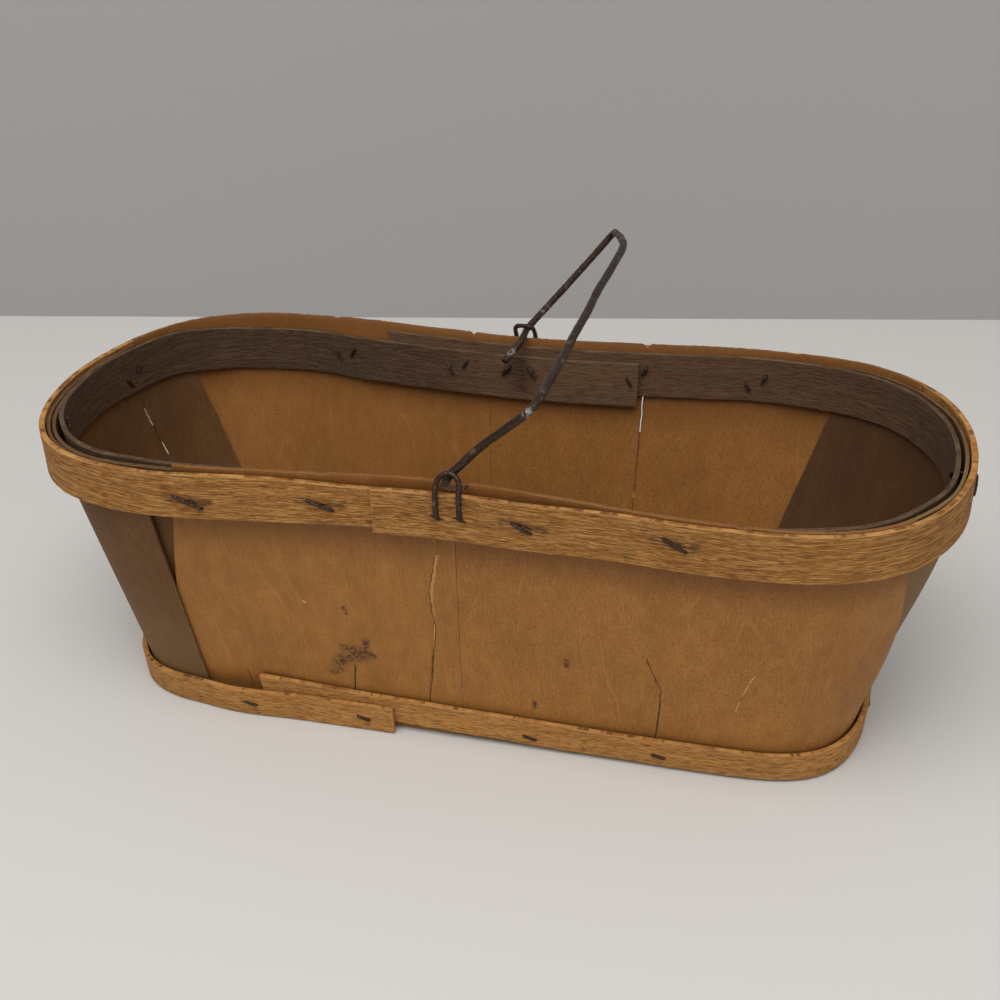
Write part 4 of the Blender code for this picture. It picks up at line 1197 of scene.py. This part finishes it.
# Marks on the sheets: kind, half width in mm, then turns and heights in mm along the stroke. A
# metre is added to the heights on the inner face.
VENEER_MARKS = {
    "front_left_sheet": (
        ("pale", 1.0, (3.9845, 104.0), (3.9835, 89.0)),
        ("raw", 0.50, (3.9835, 89.5), (3.9695, 72.5)),
        ("raw", 0.38, (3.9695, 72.5), (3.9695, 58.0)),
        ("raw", 0.22, (3.9695, 58.0), (3.963, 44.0)),
        ("dark", 0.12, (3.9805, 89.0), (3.9668, 72.5), (3.9668, 60.0)),
        # painted shade in the eye's notch at the top edge
        ("dark", 1.5, (4.004, 122.0), (4.015, 122.0)),
        ("dark", 0.14, (3.969, 60.0), (3.969, 53.0), (3.961, 40.4)),
        ("dark", 0.30, (3.961, 40.4), (3.955, 28.0)),
        ("dark", 0.16, (3.955, 28.0), (3.948, 17.7), (3.947, 9.0)),
        ("dark", 0.20, (3.842, 30.5), (3.834, 15.9), (3.834, 10.0)),
        ("dark", 0.14, (3.668, 20.0), (3.670, 11.0)),
        ("stain", 2.0, (3.809, 26.0), (3.816, 27.4)),
        ("stain", 2.4, (3.820, 31.5), (3.840, 35.4)),
        ("stain", 3.0, (3.840, 35.4), (3.858, 37.3)),
        ("stain", 1.2, (3.858, 37.3), (3.872, 36.2)),
        ("stain", 1.2, (3.863, 40.0), (3.866, 44.5)),
        ("stain", 1.8, (3.832, 39.4), (3.846, 38.6)),
        ("stain", 0.8, (3.843, 60.3), (3.844, 57.5)),
        ("scratch", 0.35, (3.790, 62.0), (3.792, 61.2)),
    ),
    "front_right_sheet": (
        # painted shade in the eye's notch at the top edge
        ("dark", 1.5, (0.015, 122.0), (0.030, 122.0)),
        ("dark", 0.22, (0.256, 54.6), (0.261, 51.0)),
        ("dark", 0.07, (0.261, 51.0), (0.268, 46.0), (0.278, 34.0)),
        ("dark", 0.17, (0.278, 34.0), (0.276, 22.0), (0.274, 9.0)),
        ("stain", 0.9, (0.151, 47.5), (0.152, 44.5)),
        ("stain", 0.8, (0.104, 22.6), (0.104, 20.4)),
        ("scratch", 0.16, (0.407, 52.5), (0.402, 49.0)),
        ("scratch", 0.16, (0.400, 48.0), (0.392, 42.0)),
        ("scratch", 0.16, (0.389, 38.0), (0.385, 33.1)),
    ),
    "back_right_sheet": (
        ("dark", 0.13, (1.8315, 1119.0), (1.833, 1070.0), (1.834, 1030.0)),
        ("raw", 0.45, (1.8337, 1059.0), (1.8338, 1057.0)),
        ("dark", 0.16, (1.8315, 119.0), (1.833, 70.0), (1.834, 30.0)),
    ),
    "right_lining": (("pale", 38.0, (0.80, 115.0), (0.80, 8.0)),),
    "left_lining": (
        ("raw", 0.30, (2.867, 1092.2), (2.858, 1084.0)),
        ("raw", 0.24, (2.846, 1075.0), (2.840, 1069.7)),
        ("dark", 0.10, (2.869, 1095.0), (2.853, 1081.0), (2.838, 1062.0)),
    ),
}


def strokes_from(path, half):
    """Strokes in mm along a path of turns and heights in mm."""
    places = [(float(way_round(turn)) * MILLIMETRES, height, 0.0) for turn, height in path]
    return [(start, end, half) for start, end in zip(places, places[1:])]


def veneer_marks(name):
    """Strokes of stain, crack, painted shade and raw wood on a sheet, by kind."""
    marks = {kind: [] for kind in ("stain", "dark", "raw", "pale", "scratch")}
    for kind, half, *path in VENEER_MARKS.get(name, ()):
        marks[kind] += strokes_from(path, half)
    return marks


def staple_stains(staples, reach, half):
    """Dark smears along the grain round each staple, in mm."""
    strokes = []
    for turn, z in staples:
        way, middle = float(way_round(turn)) * MILLIMETRES, z * MILLIMETRES
        strokes.append(((way - reach, middle + 0.6, 0.0), (way + reach, middle - 0.6, 0.0), half))
    return strokes


# Unevenness of a band's lower and upper edge and of its sawn faces, as layers of noise
BAND_LOW_EDGE = ((1.0, 55, 0, 0), (0.9, 800, 0, 0))
BAND_HIGH_EDGE = ((1.0, 50, 0, 2), (0.4, 700, 0, 2))
BAND_FACES = ((0.5, 520, 1100, 4), (0.6, 160, 900, 6), (0.5, 45, 160, 8))
BAND_ROUGHNESS = 0.00009
# Rows of faces over which an edge is ragged
RAGGED_ROWS = 2.0


def build_band(name, node, slot, materials, seed, band_round, points_at, height, thickness):
    """A bent band: rough-sawn faces, ragged edges and a cut end at each end of its lap."""
    wood = bpy.context.scene.basket_wood
    start, direction, length = band_round
    ends = sorted((start, start + direction * length))
    width = float(way_round(ends[1]) - way_round(ends[0]))
    columns, rows = round(width / wood.band_cell), round(height / wood.band_row)

    def middle(column, row):
        share = column / columns
        progress = length * (share if direction > 0 else 1 - share)
        way = way_round(strip_turn(band_round, progress))
        low = np.maximum(1 - row / RAGGED_ROWS, 0.0)
        high = np.maximum(1 - (rows - row) / RAGGED_ROWS, 0.0)
        fray = wood.edge_fray / height
        ragged_low, ragged_high = (
            layered_noise(way, 0.0, seed, edge) + 0.5 for edge in (BAND_LOW_EDGE, BAND_HIGH_EDGE)
        )
        up = row / rows + low * fray * ragged_low - high * fray * ragged_high
        points = points_at(progress, up, 0.5)
        return points, np.stack([way, points[:, 2]], -1)

    def faces(place, side):
        return BAND_ROUGHNESS * layered_noise(place[:, 0], place[:, 1], seed + side, BAND_FACES)

    obj = add_wood_strip(name, columns, rows, middle, thickness, faces)
    finish_strip(obj, wood.edge_round * 1.4, materials, node)


def rounded(points, radii, steps):
    """The polyline with its inner corners turned into arcs."""
    out = [points[0]]
    for before, corner, after, radius in zip(points, points[1:], points[2:], radii):
        back = (before - corner).normalized()
        ahead = (after - corner).normalized()
        half_angle = back.angle(ahead) / 2
        reach = radius / math.tan(half_angle)
        reach = min(reach, (before - corner).length, (after - corner).length)
        used = reach * math.tan(half_angle)
        centre = corner + (back + ahead).normalized() * (used / math.sin(half_angle))
        first = corner + back * reach - centre
        last = corner + ahead * reach - centre
        sweep = first.angle(last)
        for step in range(steps + 1):
            share = step / steps
            arm = first * math.sin((1 - share) * sweep) + last * math.sin(share * sweep)
            out.append(centre + arm / math.sin(sweep))
    out.append(points[-1])
    return out


def spaced(points, spacing):
    """The polyline with points at an even spacing."""
    table = np.array([tuple(point) for point in points])
    length = np.concatenate([[0.0], np.cumsum(np.linalg.norm(np.diff(table, axis=0), axis=1))])
    places = np.linspace(0.0, length[-1], max(round(length[-1] / spacing), 2) + 1)
    return np.stack([np.interp(places, length, table[:, axis]) for axis in range(3)], -1)


def wire_piece(name, node, points, wire, spacing, bends, material, body, slot):
    """A wire along the points: even spacing, small bends and swells, closed ends."""
    path = spaced(points, spacing)
    way = np.arange(len(path)) * spacing
    held = smooth_step(way / WIRE_HELD) * smooth_step((way[-1] - way) / WIRE_HELD)
    for axis in range(3):
        path[:, axis] += bends * held * value_noise(way / 0.018, 0.0, 3.0 + axis)
    swell = 1 + 0.03 * value_noise(way / 0.0035, 0.0, 9.0)
    swell = swell + 0.05 * value_noise(way / 0.0009, 0.0, 4.0)
    deselect_all()
    bpy.ops.curve.primitive_nurbs_path_add()
    obj = bpy.context.object
    curve = obj.data
    curve.splines.clear()
    curve.dimensions = "3D"
    curve.bevel_depth = wire / 2
    curve.bevel_resolution = bpy.context.scene.basket_wire.round_sides
    curve.use_fill_caps = True
    spline = curve.splines.new("POLY")
    spline.points.add(len(path) - 1)
    for target, point, radius in zip(spline.points, path, swell):
        target.co = (*point, 1.0)
        target.radius = radius
    bpy.ops.object.convert(target="MESH")
    obj = bpy.context.object
    obj.name = obj.data.name = name
    bpy.ops.object.mode_set(mode="EDIT")
    bpy.ops.mesh.select_all(action="SELECT")
    bpy.ops.mesh.remove_doubles(threshold=0.00001)
    bpy.ops.mesh.normals_make_consistent(inside=False)
    bpy.ops.object.mode_set(mode="OBJECT")
    bpy.ops.object.shade_smooth_by_angle(angle=math.radians(45))
    obj.data.materials.append(material)
    hand_over(obj, body, node)


def staple_frame(turn, z, slope=0.0):
    """Directions out of the wall, level along it, and along a staple's sloping crown."""
    out = Vector((*outward_xy(np.array(turn), np.array(z)), 0.0))
    level = Vector((-out.y, out.x, 0.0))
    angle = math.radians(slope)
    return out, level, level * math.cos(angle) - Vector((0.0, 0.0, math.sin(angle)))


def inner_face_inset(turn, start, out):
    """How far inwards of start the inner band's inner face lies, level with it."""
    progress = last_progress(INNER_BAND_ROUND, turn)
    foot = one_point(inner_band_points(progress, 0.0, 1.0))
    top = one_point(inner_band_points(progress, 1.0, 1.0))
    face = foot.lerp(top, (start.z - foot.z) / (top.z - foot.z))
    return (start - face).dot(out)


def clinched_leg(turn, corner, out, reach, way, slope, length):
    """The tip and the bend of a leg that goes inwards and is folded down on the inner band."""
    level = Vector((-out.y, out.x, 0.0))
    bend = corner - out * (inner_face_inset(turn, corner, out) + reach)
    angle = math.radians(slope)
    tip = bend + (level * (way * math.cos(angle)) - Vector((0.0, 0.0, math.sin(angle)))) * length
    turn += level.dot(tip - bend) * float(turns_per_metre(turn, tip.z))
    return tip - out * (inner_face_inset(turn, tip, out) + reach), bend


def band_staple_path(turn, drop, slope, crown_share):
    """A staple whose crown is pressed into the outer band, with its legs clinched inside."""
    reach = BAND_STAPLE_WIRE / 2
    middle = one_point(outer_band_points(last_progress(OUTER_BAND_ROUND, turn), 1 - drop, 1.0))
    out, level, crown = staple_frame(turn, middle.z, slope)
    middle += out * reach * 0.35
    sides = []
    for side in (-1, 1):
        corner = middle + crown * (side * BAND_STAPLE_CROWN * crown_share / 2)
        near = turn + level.dot(corner - middle) * float(turns_per_metre(turn, corner.z))
        fold = (-side, BAND_STAPLE_TAIL_SLOPE, BAND_STAPLE_TAIL)
        sides.append([*clinched_leg(near, corner, out, reach, *fold), corner])
    points = [*sides[0], middle + out * BAND_STAPLE_BOW, *sides[1][::-1]]
    bends = [BAND_STAPLE_BEND] * 2
    return rounded(points, [*bends, BAND_STAPLE_BOW_RADIUS, *bends], BEND_STEPS)


def hoop_staple_path(turn, slope):
    """A small staple through the hoop and the sheets into the board's edge."""
    progress = last_progress(HOOP_ROUND, turn)
    foot = one_point(hoop_points(progress, 0.0, 1.0))
    top = one_point(hoop_points(progress, 1.0, 1.0))
    middle = foot.lerp(top, (HOOP_STAPLE_HEIGHT - foot.z) / (top.z - foot.z))
    out, _, crown = staple_frame(turn, middle.z, slope)
    middle += out * (HOOP_STAPLE_WIRE / 2) * 0.55
    base = float(inner_base(np.array(turn), 0.0))
    bottom = one_point(wall_points(turn, middle.z, base - HOOP_STAPLE_BITE))
    depth = (middle - bottom).dot(out)
    corners = [middle + crown * (side * HOOP_STAPLE_CROWN / 2) for side in (-1, 1)]
    tips = [corner - out * depth for corner in corners]
    return rounded([tips[0], *corners, tips[1]], [HOOP_STAPLE_BEND] * 2, BEND_STEPS)


def shifted_turn(side, shift):
    """The turn at a distance off the middle of a long side: side is -1 in front, 1 at the back."""
    middle = 0.0 if side < 0 else QUARTERS / 2
    return middle + shift * float(turns_per_metre(np.array(middle), np.array(RIM_HEIGHT)))


def eye_seat(side, shift):
    """A point of an eye's leg plane at the top of the outer band, and the outward direction."""
    turn = shifted_turn(side, shift)
    top = one_point(outer_band_points(last_progress(OUTER_BAND_ROUND, turn), 1.0, 1.0))
    out, _, _ = staple_frame(turn, RIM_HEIGHT)
    return top + out * (LAYER_GAP + EYE_WIRE / 2), out


def axis_height():
    return RIM_HEIGHT + SIDE_SHEET_RISE + LAYER_GAP + BAIL_WIRE / 2


def eye_path(side):
    """A wire eye: an arch over the bail, with two legs through the bands clinched inside."""
    seat, out = eye_seat(side, EYE_SHIFT)
    turn = shifted_turn(side, EYE_SHIFT)
    level = Vector((-out.y, out.x, 0.0))
    half = EYE_WIDTH / 2
    arch_top = axis_height() + BAIL_WIRE / 2 + BAIL_RUNNING_GAP + EYE_WIRE / 2
    spring = arch_top - half
    bent = seat.z + EYE_WIRE / 4
    lean = out * (EYE_LEAN / (arch_top - bent))
    leg_foot = seat.z - EYE_LEG_DROP
    legs = []
    for hand in (-1, 1):
        over = seat + level * (hand * half)
        corner = over - out * LAYER_GAP * 0.7
        corner.z, over.z = leg_foot, bent
        top = over - lean * (spring - bent)
        top.z = spring
        near = turn + hand * half * float(turns_per_metre(turn, leg_foot))
        leg = clinched_leg(near, corner, out, EYE_WIRE / 2, hand, EYE_TAIL_SLOPE, EYE_TAIL)
        legs.append(rounded([*leg, corner, over, top], [EYE_BEND] * 3, BEND_STEPS))
    arch = []
    squareness = EYE_SQUARENESS[side]
    for step in range(1, ARCH_STEPS):
        angle = math.pi * step / ARCH_STEPS
        across = math.copysign(abs(math.cos(angle)) ** squareness, math.cos(angle))
        point = seat - level * (half * across)
        point.z = spring + half * math.sin(angle) ** squareness
        arch.append(point - lean * (point.z - bent))
    return legs[0] + arch + legs[1][::-1]


def bail_path():
    """The bail at rest: through the eyes, bent as it is, and leaning to the right."""
    front_seat, _ = eye_seat(-1, BAIL_SHIFT)
    rear_seat, _ = eye_seat(1, BAIL_SHIFT)
    across = rear_seat - front_seat
    yaw = math.atan2(-across.x, across.y)
    axis = Vector((-math.sin(yaw), math.cos(yaw), 0.0))
    middle = (front_seat + rear_seat) / 2
    middle.z = axis_height()
    turned = Matrix.Rotation(yaw, 4, "Z") @ Matrix.Rotation(math.radians(BAIL_LEAN), 4, "Y")

    half_span = abs((rear_seat - middle).dot(axis))
    arch = half_span - EYE_LEAN
    end = arch + EYE_WIRE / 2 + BAIL_FRONT_END
    front_foot = arch - EYE_WIRE / 2 - BAIL_RUNNING_GAP - BAIL_WIRE / 2
    rear_foot = half_span + BAIL_RUNNING_GAP
    progress = last_progress(INNER_BAND_ROUND, shifted_turn(1, BAIL_SHIFT))
    face = one_point(inner_band_points(progress, 1.0, 1.0))
    hook = abs((face - middle).dot(axis)) - BAIL_WIRE / 2
    corners = [(-end, 0.0), (-front_foot, 0.0)]
    corners += [(half_span * along, BAIL_REACH * away) for along, away, _ in BAIL_CORNERS]
    corners += [(rear_foot, 0.0), (hook, 0.0), (hook - BAIL_TAIL_REACH, -BAIL_TAIL_DROP)]
    radii = [BAIL_FRONT_FOOT_RADIUS, *(BAIL_REACH * bend for _, _, bend in BAIL_CORNERS)]
    radii += [BAIL_REAR_FOOT_RADIUS, BAIL_HOOK_RADIUS]
    points = [Vector((0.0, along, away)) for along, away in corners]
    return [middle + turned @ point for point in rounded(points, radii, BAIL_BEND_STEPS)]


def view_frame():
    """Where the photograph's camera stands, and its right, up and forward directions."""
    level = math.cos(VIEW_PITCH)
    forward = Vector(
        (math.sin(VIEW_YAW) * level, math.cos(VIEW_YAW) * level, -math.sin(VIEW_PITCH))
    )
    right = Vector((math.cos(VIEW_YAW), -math.sin(VIEW_YAW), 0.0))
    up = right.cross(forward)
    cosine, sine = math.cos(VIEW_ROLL), math.sin(VIEW_ROLL)
    right, up = right * cosine + up * sine, up * cosine - right * sine
    return Vector(VIEW_AIM) - forward * VIEW_DISTANCE, right, up, forward


def cloth(name, colour):
    """Matt pale cotton cloth."""
    material, _, shader = new_material(name, 0.95)
    shader.inputs["Base Color"].default_value = (*colour, 1.0)
    shader.inputs["Specular IOR Level"].default_value = 0.1
    return material


def hanging_cloth(name, colour):
    """The backdrop's matt cotton, which the camera looks through from behind."""
    material = cloth(name, colour)
    tree = material.node_tree
    behind = add_node(tree, "NewGeometry", output="Backfacing")
    seen = add_node(tree, "LightPath", output="Is Camera Ray")
    inputs = {
        0: add_node(tree, "Math", {0: behind, 1: seen}, operation="MULTIPLY"),
        1: tree.nodes["Principled BSDF"].outputs["BSDF"],
        2: add_node(tree, "BsdfTransparent"),
    }
    mixed = add_node(tree, "MixShader", inputs)
    tree.links.new(mixed, tree.nodes["Material Output"].inputs["Surface"])
    return material


def add_floor(place, right, up, forward):
    """A floor, and an upright backdrop where the photograph's floor ends."""
    stage = bpy.context.scene.basket_stage
    pixels = VIEW_LENS / SENSOR_WIDTH * PHOTO_PIXELS
    ends = []
    for side, pixel_y in zip((-0.5, 0.5), FLOOR_END_PIXELS):
        across, rise = side * PHOTO_PIXELS / pixels, (PHOTO_PIXELS / 2 - pixel_y) / pixels
        ray = forward + right * across + up * rise
        ends.append(place + ray * (-(place.z + FLOOR_DROP) / ray.z))
    along = (ends[1] - ends[0]).normalized()
    back = Vector((-along.y, along.x, 0.0))
    middle = (ends[0] + ends[1]) / 2
    high = back * BACKDROP_LEAN + Vector((0.0, 0.0, BACKDROP_HEIGHT))
    floor = cloth("pale_floor_cloth", stage.floor_colour)
    backdrop = hanging_cloth("pale_backdrop_cloth", stage.backdrop_colour)
    for name, near, far, material in (
        ("studio_floor", -back * STAGE_REACH, back * STAGE_REACH, floor),
        ("studio_backdrop", back * 0.0, high, backdrop),
    ):
        deselect_all()
        bpy.ops.mesh.primitive_plane_add(size=2.0)
        sheet = bpy.context.object
        sheet.name = sheet.data.name = name
        for vertex in sheet.data.vertices:
            away = far if vertex.co.y > 0 else near
            vertex.co = middle + along * math.copysign(STAGE_REACH, vertex.co.x) + away
        sheet.data.materials.append(material)


def add_light():
    """A soft light above and in front, and an even light from all round."""
    stage = bpy.context.scene.basket_stage
    deselect_all()
    bpy.ops.object.light_add(type="AREA", location=KEY_PLACE)
    key = bpy.context.object
    key.name = "soft_overhead"
    key.data.shape = "RECTANGLE"
    key.data.size, key.data.size_y = KEY_SIZE
    key.data.energy = stage.key_power
    key.data.color = linear("#fffefc")
    aim = Vector(KEY_AIM) - key.location
    key.rotation_euler = aim.to_track_quat("-Z", "Y").to_euler()
    world = bpy.context.scene.world or bpy.data.worlds.new("studio")
    bpy.context.scene.world = world
    world.use_nodes = True
    background = world.node_tree.nodes["Background"]
    background.inputs["Color"].default_value = (*linear("#fafafc"), 1.0)
    background.inputs["Strength"].default_value = stage.fill_strength


def add_camera(place, right, up, forward):
    deselect_all()
    bpy.ops.object.camera_add()
    camera = bpy.context.object
    camera.name = "photo_camera"
    camera.data.lens = VIEW_LENS
    camera.data.sensor_width = SENSOR_WIDTH
    camera.data.clip_start = CLIP_START
    axes = Matrix((right, up, -forward)).transposed().to_4x4()
    camera.matrix_world = Matrix.Translation(place) @ axes
    bpy.context.scene.camera = camera
    bpy.context.scene.view_settings.view_transform = "Standard"


# Operators and panel


class BASKET_OT_board(bpy.types.Operator):
    """Give the bottom board its planed wood"""

    bl_idname = "basket.board"
    bl_label = "Bottom Board"
    bl_options = {"REGISTER", "UNDO"}

    def execute(self, context):
        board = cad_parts["bottom_board"]
        board.data.materials.clear()
        board.data.materials.append(board_wood())
        return {"FINISHED"}


class BASKET_OT_sheets(bpy.types.Operator):
    """Build the four stained side sheets and the three weathered end sheets"""

    bl_idname = "basket.sheets"
    bl_label = "Wood Sheets"
    bl_options = {"REGISTER", "UNDO"}

    def execute(self, context):
        side_edge = cut_edge_wood("veneer_cut_edge", "#694a2e", "#89704f", 21.0)
        end_edge = cut_edge_wood("weathered_cut_edge", "#54422e", "#8f7f61", 25.0)
        for index, (name, node, layer, rim, base, rises) in enumerate(SHEETS):
            marks, seed = veneer_marks(name), 11.0 * index + 2
            if layer == 0:
                slant = FIGURE_SLANTS[index]
                face = stained_veneer(f"stained_poplar_{name}", marks, seed, slant)
                materials, slot = (face, side_edge), "side_sheet_wood"
            else:
                inside_dark = 0.12 if name == "left_lining" else 0.50
                face = weathered_veneer(f"weathered_poplar_{name}", marks, seed, inside_dark)
                materials, slot = (face, end_edge), "end_sheet_wood"
            build_sheet(name, node, layer, rim, base, rises, materials)
        return {"FINISHED"}


class BASKET_OT_inner_band(bpy.types.Operator):
    """Build the inner top band"""

    bl_idname = "basket.inner_band"
    bl_label = "Inner Band"
    bl_options = {"REGISTER", "UNDO"}

    def execute(self, context):
        wood = context.scene.basket_wood
        start, direction, _ = INNER_BAND_ROUND
        ways = [
            float(way_round(start + direction * progress)) * MILLIMETRES
            for progress in INNER_BAND_PAINTED_SHADE_ENDS
        ]
        face = sawn_wood(
            "weathered_band_elm",
            (wood.inner_colour, wood.inner_dark, wood.inner_light),
            43.0,
            # darker patch below the bail's hook, laid with the stain layer
            {"stain": strokes_from(INNER_BAND_DARK_PATCH, 4.0), "dark": []},
            0.00014,
            0.74,
            # painted shade from near the right end on, deeper from the left end on
            ((ways[0], ways[1], 0.42), (ways[2], ways[3], 0.24)),
            ways[4:],
        )
        edge = cut_edge_wood("weathered_band_edge", "#45351f", "#6f5e43", 35.0)
        sizes = (INNER_BAND_ROUND, inner_band_points, INNER_BAND_HEIGHT, INNER_BAND_THICKNESS)
        build_band("inner_band", "inner_top_band", "inner_band_wood", (face, edge), 15.0, *sizes)
        return {"FINISHED"}


class BASKET_OT_outer_band(bpy.types.Operator):
    """Build the outer top band"""

    bl_idname = "basket.outer_band"
    bl_label = "Outer Band"
    bl_options = {"REGISTER", "UNDO"}

    def execute(self, context):
        wood = context.scene.basket_wood
        places = [
            (turn if turn < 3.9 else turn - QUARTERS, RIM_HEIGHT - drop * OUTER_BAND_HEIGHT)
            for turn, drop, _, _ in BAND_STAPLES
        ]
        foot_height = RIM_HEIGHT - OUTER_BAND_LAP_DROP - EYE_LEG_DROP - EYE_WIRE / 4
        feet = [
            (shifted_turn(side, EYE_SHIFT + hand * EYE_WIDTH / 2), foot_height)
            for side in (-1, 1)
            for hand in (-1, 1)
        ]
        marks = {
            "stain": staple_stains(places, 7.0, 1.5),
            "dark": staple_stains(places, 3.0, 0.35) + staple_stains(feet, 2.2, 0.40),
        }
        colours = (wood.band_colour, wood.band_dark, wood.band_light)
        face = sawn_wood("sawn_band_elm", colours, 3.0, marks, 0.00022, 1.2)
        edge = cut_edge_wood("band_cut_edge", "#8d6136", "#bd9059", 31.0)
        sizes = (OUTER_BAND_ROUND, outer_band_points, OUTER_BAND_HEIGHT, OUTER_BAND_THICKNESS)
        build_band("outer_band", "outer_top_band", "band_wood", (face, edge), 5.0, *sizes)
        return {"FINISHED"}


class BASKET_OT_hoop(bpy.types.Operator):
    """Build the hoop round the bottom board"""

    bl_idname = "basket.hoop"
    bl_label = "Bottom Hoop"
    bl_options = {"REGISTER", "UNDO"}

    def execute(self, context):
        wood = context.scene.basket_wood
        places = [(turn, HOOP_STAPLE_HEIGHT) for turn, _ in HOOP_STAPLES]
        marks = {
            "stain": staple_stains(places, 4.2, 1.0),
            "dark": staple_stains(places, 2.0, 0.3),
        }
        colours = (wood.hoop_colour, wood.band_dark, wood.band_light)
        face = sawn_wood("sawn_hoop_elm", colours, 63.0, marks, 0.00018, 1.25)
        edge = cut_edge_wood("hoop_cut_edge", "#8d6136", "#bd9059", 37.0)
        sizes = (HOOP_ROUND, hoop_points, HOOP_HEIGHT, HOOP_THICKNESS)
        build_band("hoop", "bottom_hoop", "band_wood", (face, edge), 25.0, *sizes)
        return {"FINISHED"}


class BASKET_OT_staples(bpy.types.Operator):
    """Build the staples of the top bands and of the hoop"""

    bl_idname = "basket.staples"
    bl_label = "Staples"
    bl_options = {"REGISTER", "UNDO"}

    def execute(self, context):
        material = dark_wire("blackened_staple_wire", 0.75, 51.0)
        rim = (BAND_STAPLES, band_staple_path, BAND_STAPLE_WIRE, 0.00012)
        floor = (HOOP_STAPLES, hoop_staple_path, HOOP_STAPLE_WIRE, 0.00008)
        for name, node, (staples, path_of, wire, bends) in (
            ("rim_staple", "band_staple", rim),
            ("floor_staple", "hoop_staple", floor),
        ):
            for index, staple in enumerate(staples, 1):
                wire_piece(
                    f"{name}_{index:02d}",
                    f"{node}_{index:02d}",
                    path_of(*staple),
                    wire,
                    STAPLE_SPACING,
                    bends,
                    material,
                    "basket",
                    "staple_wire",
                )
        return {"FINISHED"}


class BASKET_OT_eyes(bpy.types.Operator):
    """Build the two wire eyes that hold the bail"""

    bl_idname = "basket.eyes"
    bl_label = "Wire Eyes"
    bl_options = {"REGISTER", "UNDO"}

    def execute(self, context):
        material = dark_wire("blackened_eye_wire", 0.55, 57.0)
        sizes = (EYE_WIRE, WIRE_SPACING, 0.00010)
        for side, word in ((-1, "front"), (1, "rear")):
            kept = (material, "basket", "staple_wire")
            wire_piece(f"eye_{word}", f"eye_staple_{word}", eye_path(side), *sizes, *kept)
        return {"FINISHED"}


class BASKET_OT_bail(bpy.types.Operator):
    """Build the swinging wire bail"""

    bl_idname = "basket.bail"
    bl_label = "Wire Bail"
    bl_options = {"REGISTER", "UNDO"}

    def execute(self, context):
        path = bail_path()
        evenly = spaced(path, WIRE_SPACING)
        # places of the painted highlights on the bail
        painted_glints = [evenly[round(share * (len(evenly) - 1))] for share in BAIL_PAINTED_GLINT_SHARES]
        material = dark_wire("blackened_bail_wire", 0.45, 61.0, painted_glints)
        sizes = (BAIL_WIRE, WIRE_SPACING, context.scene.basket_wire.bail_bend_noise)
        wire_piece("wire_bail", "bail_handle", path, *sizes, material, "bail", "bail_wire")
        return {"FINISHED"}


class BASKET_OT_stage(bpy.types.Operator):
    """Set up the pale floor and backdrop, the soft light and the camera"""

    bl_idname = "basket.stage"
    bl_label = "Stage"
    bl_options = {"REGISTER", "UNDO"}

    def execute(self, context):
        view = view_frame()
        add_floor(*view)
        add_light()
        add_camera(*view)
        return {"FINISHED"}


class BASKET_PT_panel(bpy.types.Panel):
    """Sidebar panel with the basket's settings and operators"""

    bl_label = "Wood Basket"
    bl_idname = "BASKET_PT_panel"
    bl_space_type = "VIEW_3D"
    bl_region_type = "UI"
    bl_category = "Basket"

    def draw(self, context):
        scene = context.scene
        for group in (scene.basket_wood, scene.basket_wire, scene.basket_stage):
            box = self.layout.box()
            for name in group.bl_rna.properties.keys():
                if name not in ("rna_type", "name"):
                    box.prop(group, name)
        for operator in OPERATORS:
            self.layout.operator(operator.bl_idname)


OPERATORS = (
    BASKET_OT_board,
    BASKET_OT_sheets,
    BASKET_OT_inner_band,
    BASKET_OT_outer_band,
    BASKET_OT_hoop,
    BASKET_OT_staples,
    BASKET_OT_eyes,
    BASKET_OT_bail,
    BASKET_OT_stage,
)
GROUPS = (BasketWoodSettings, BasketWireSettings, BasketStageSettings)


def register():
    for cls in (*GROUPS, *OPERATORS, BASKET_PT_panel):
        bpy.utils.register_class(cls)
    bpy.types.Scene.basket_wood = bpy.props.PointerProperty(type=BasketWoodSettings)
    bpy.types.Scene.basket_wire = bpy.props.PointerProperty(type=BasketWireSettings)
    bpy.types.Scene.basket_stage = bpy.props.PointerProperty(type=BasketStageSettings)


def unregister():
    del bpy.types.Scene.basket_stage
    del bpy.types.Scene.basket_wire
    del bpy.types.Scene.basket_wood
    for cls in reversed((*GROUPS, *OPERATORS, BASKET_PT_panel)):
        bpy.utils.unregister_class(cls)


def main():
    """Register the add-on and build every piece."""
    register()
    bpy.ops.basket.board()
    bpy.ops.basket.sheets()
    bpy.ops.basket.inner_band()
    bpy.ops.basket.outer_band()
    bpy.ops.basket.hoop()
    bpy.ops.basket.staples()
    bpy.ops.basket.eyes()
    bpy.ops.basket.bail()
    bpy.ops.basket.stage()


if __name__ == "__main__":
    main()
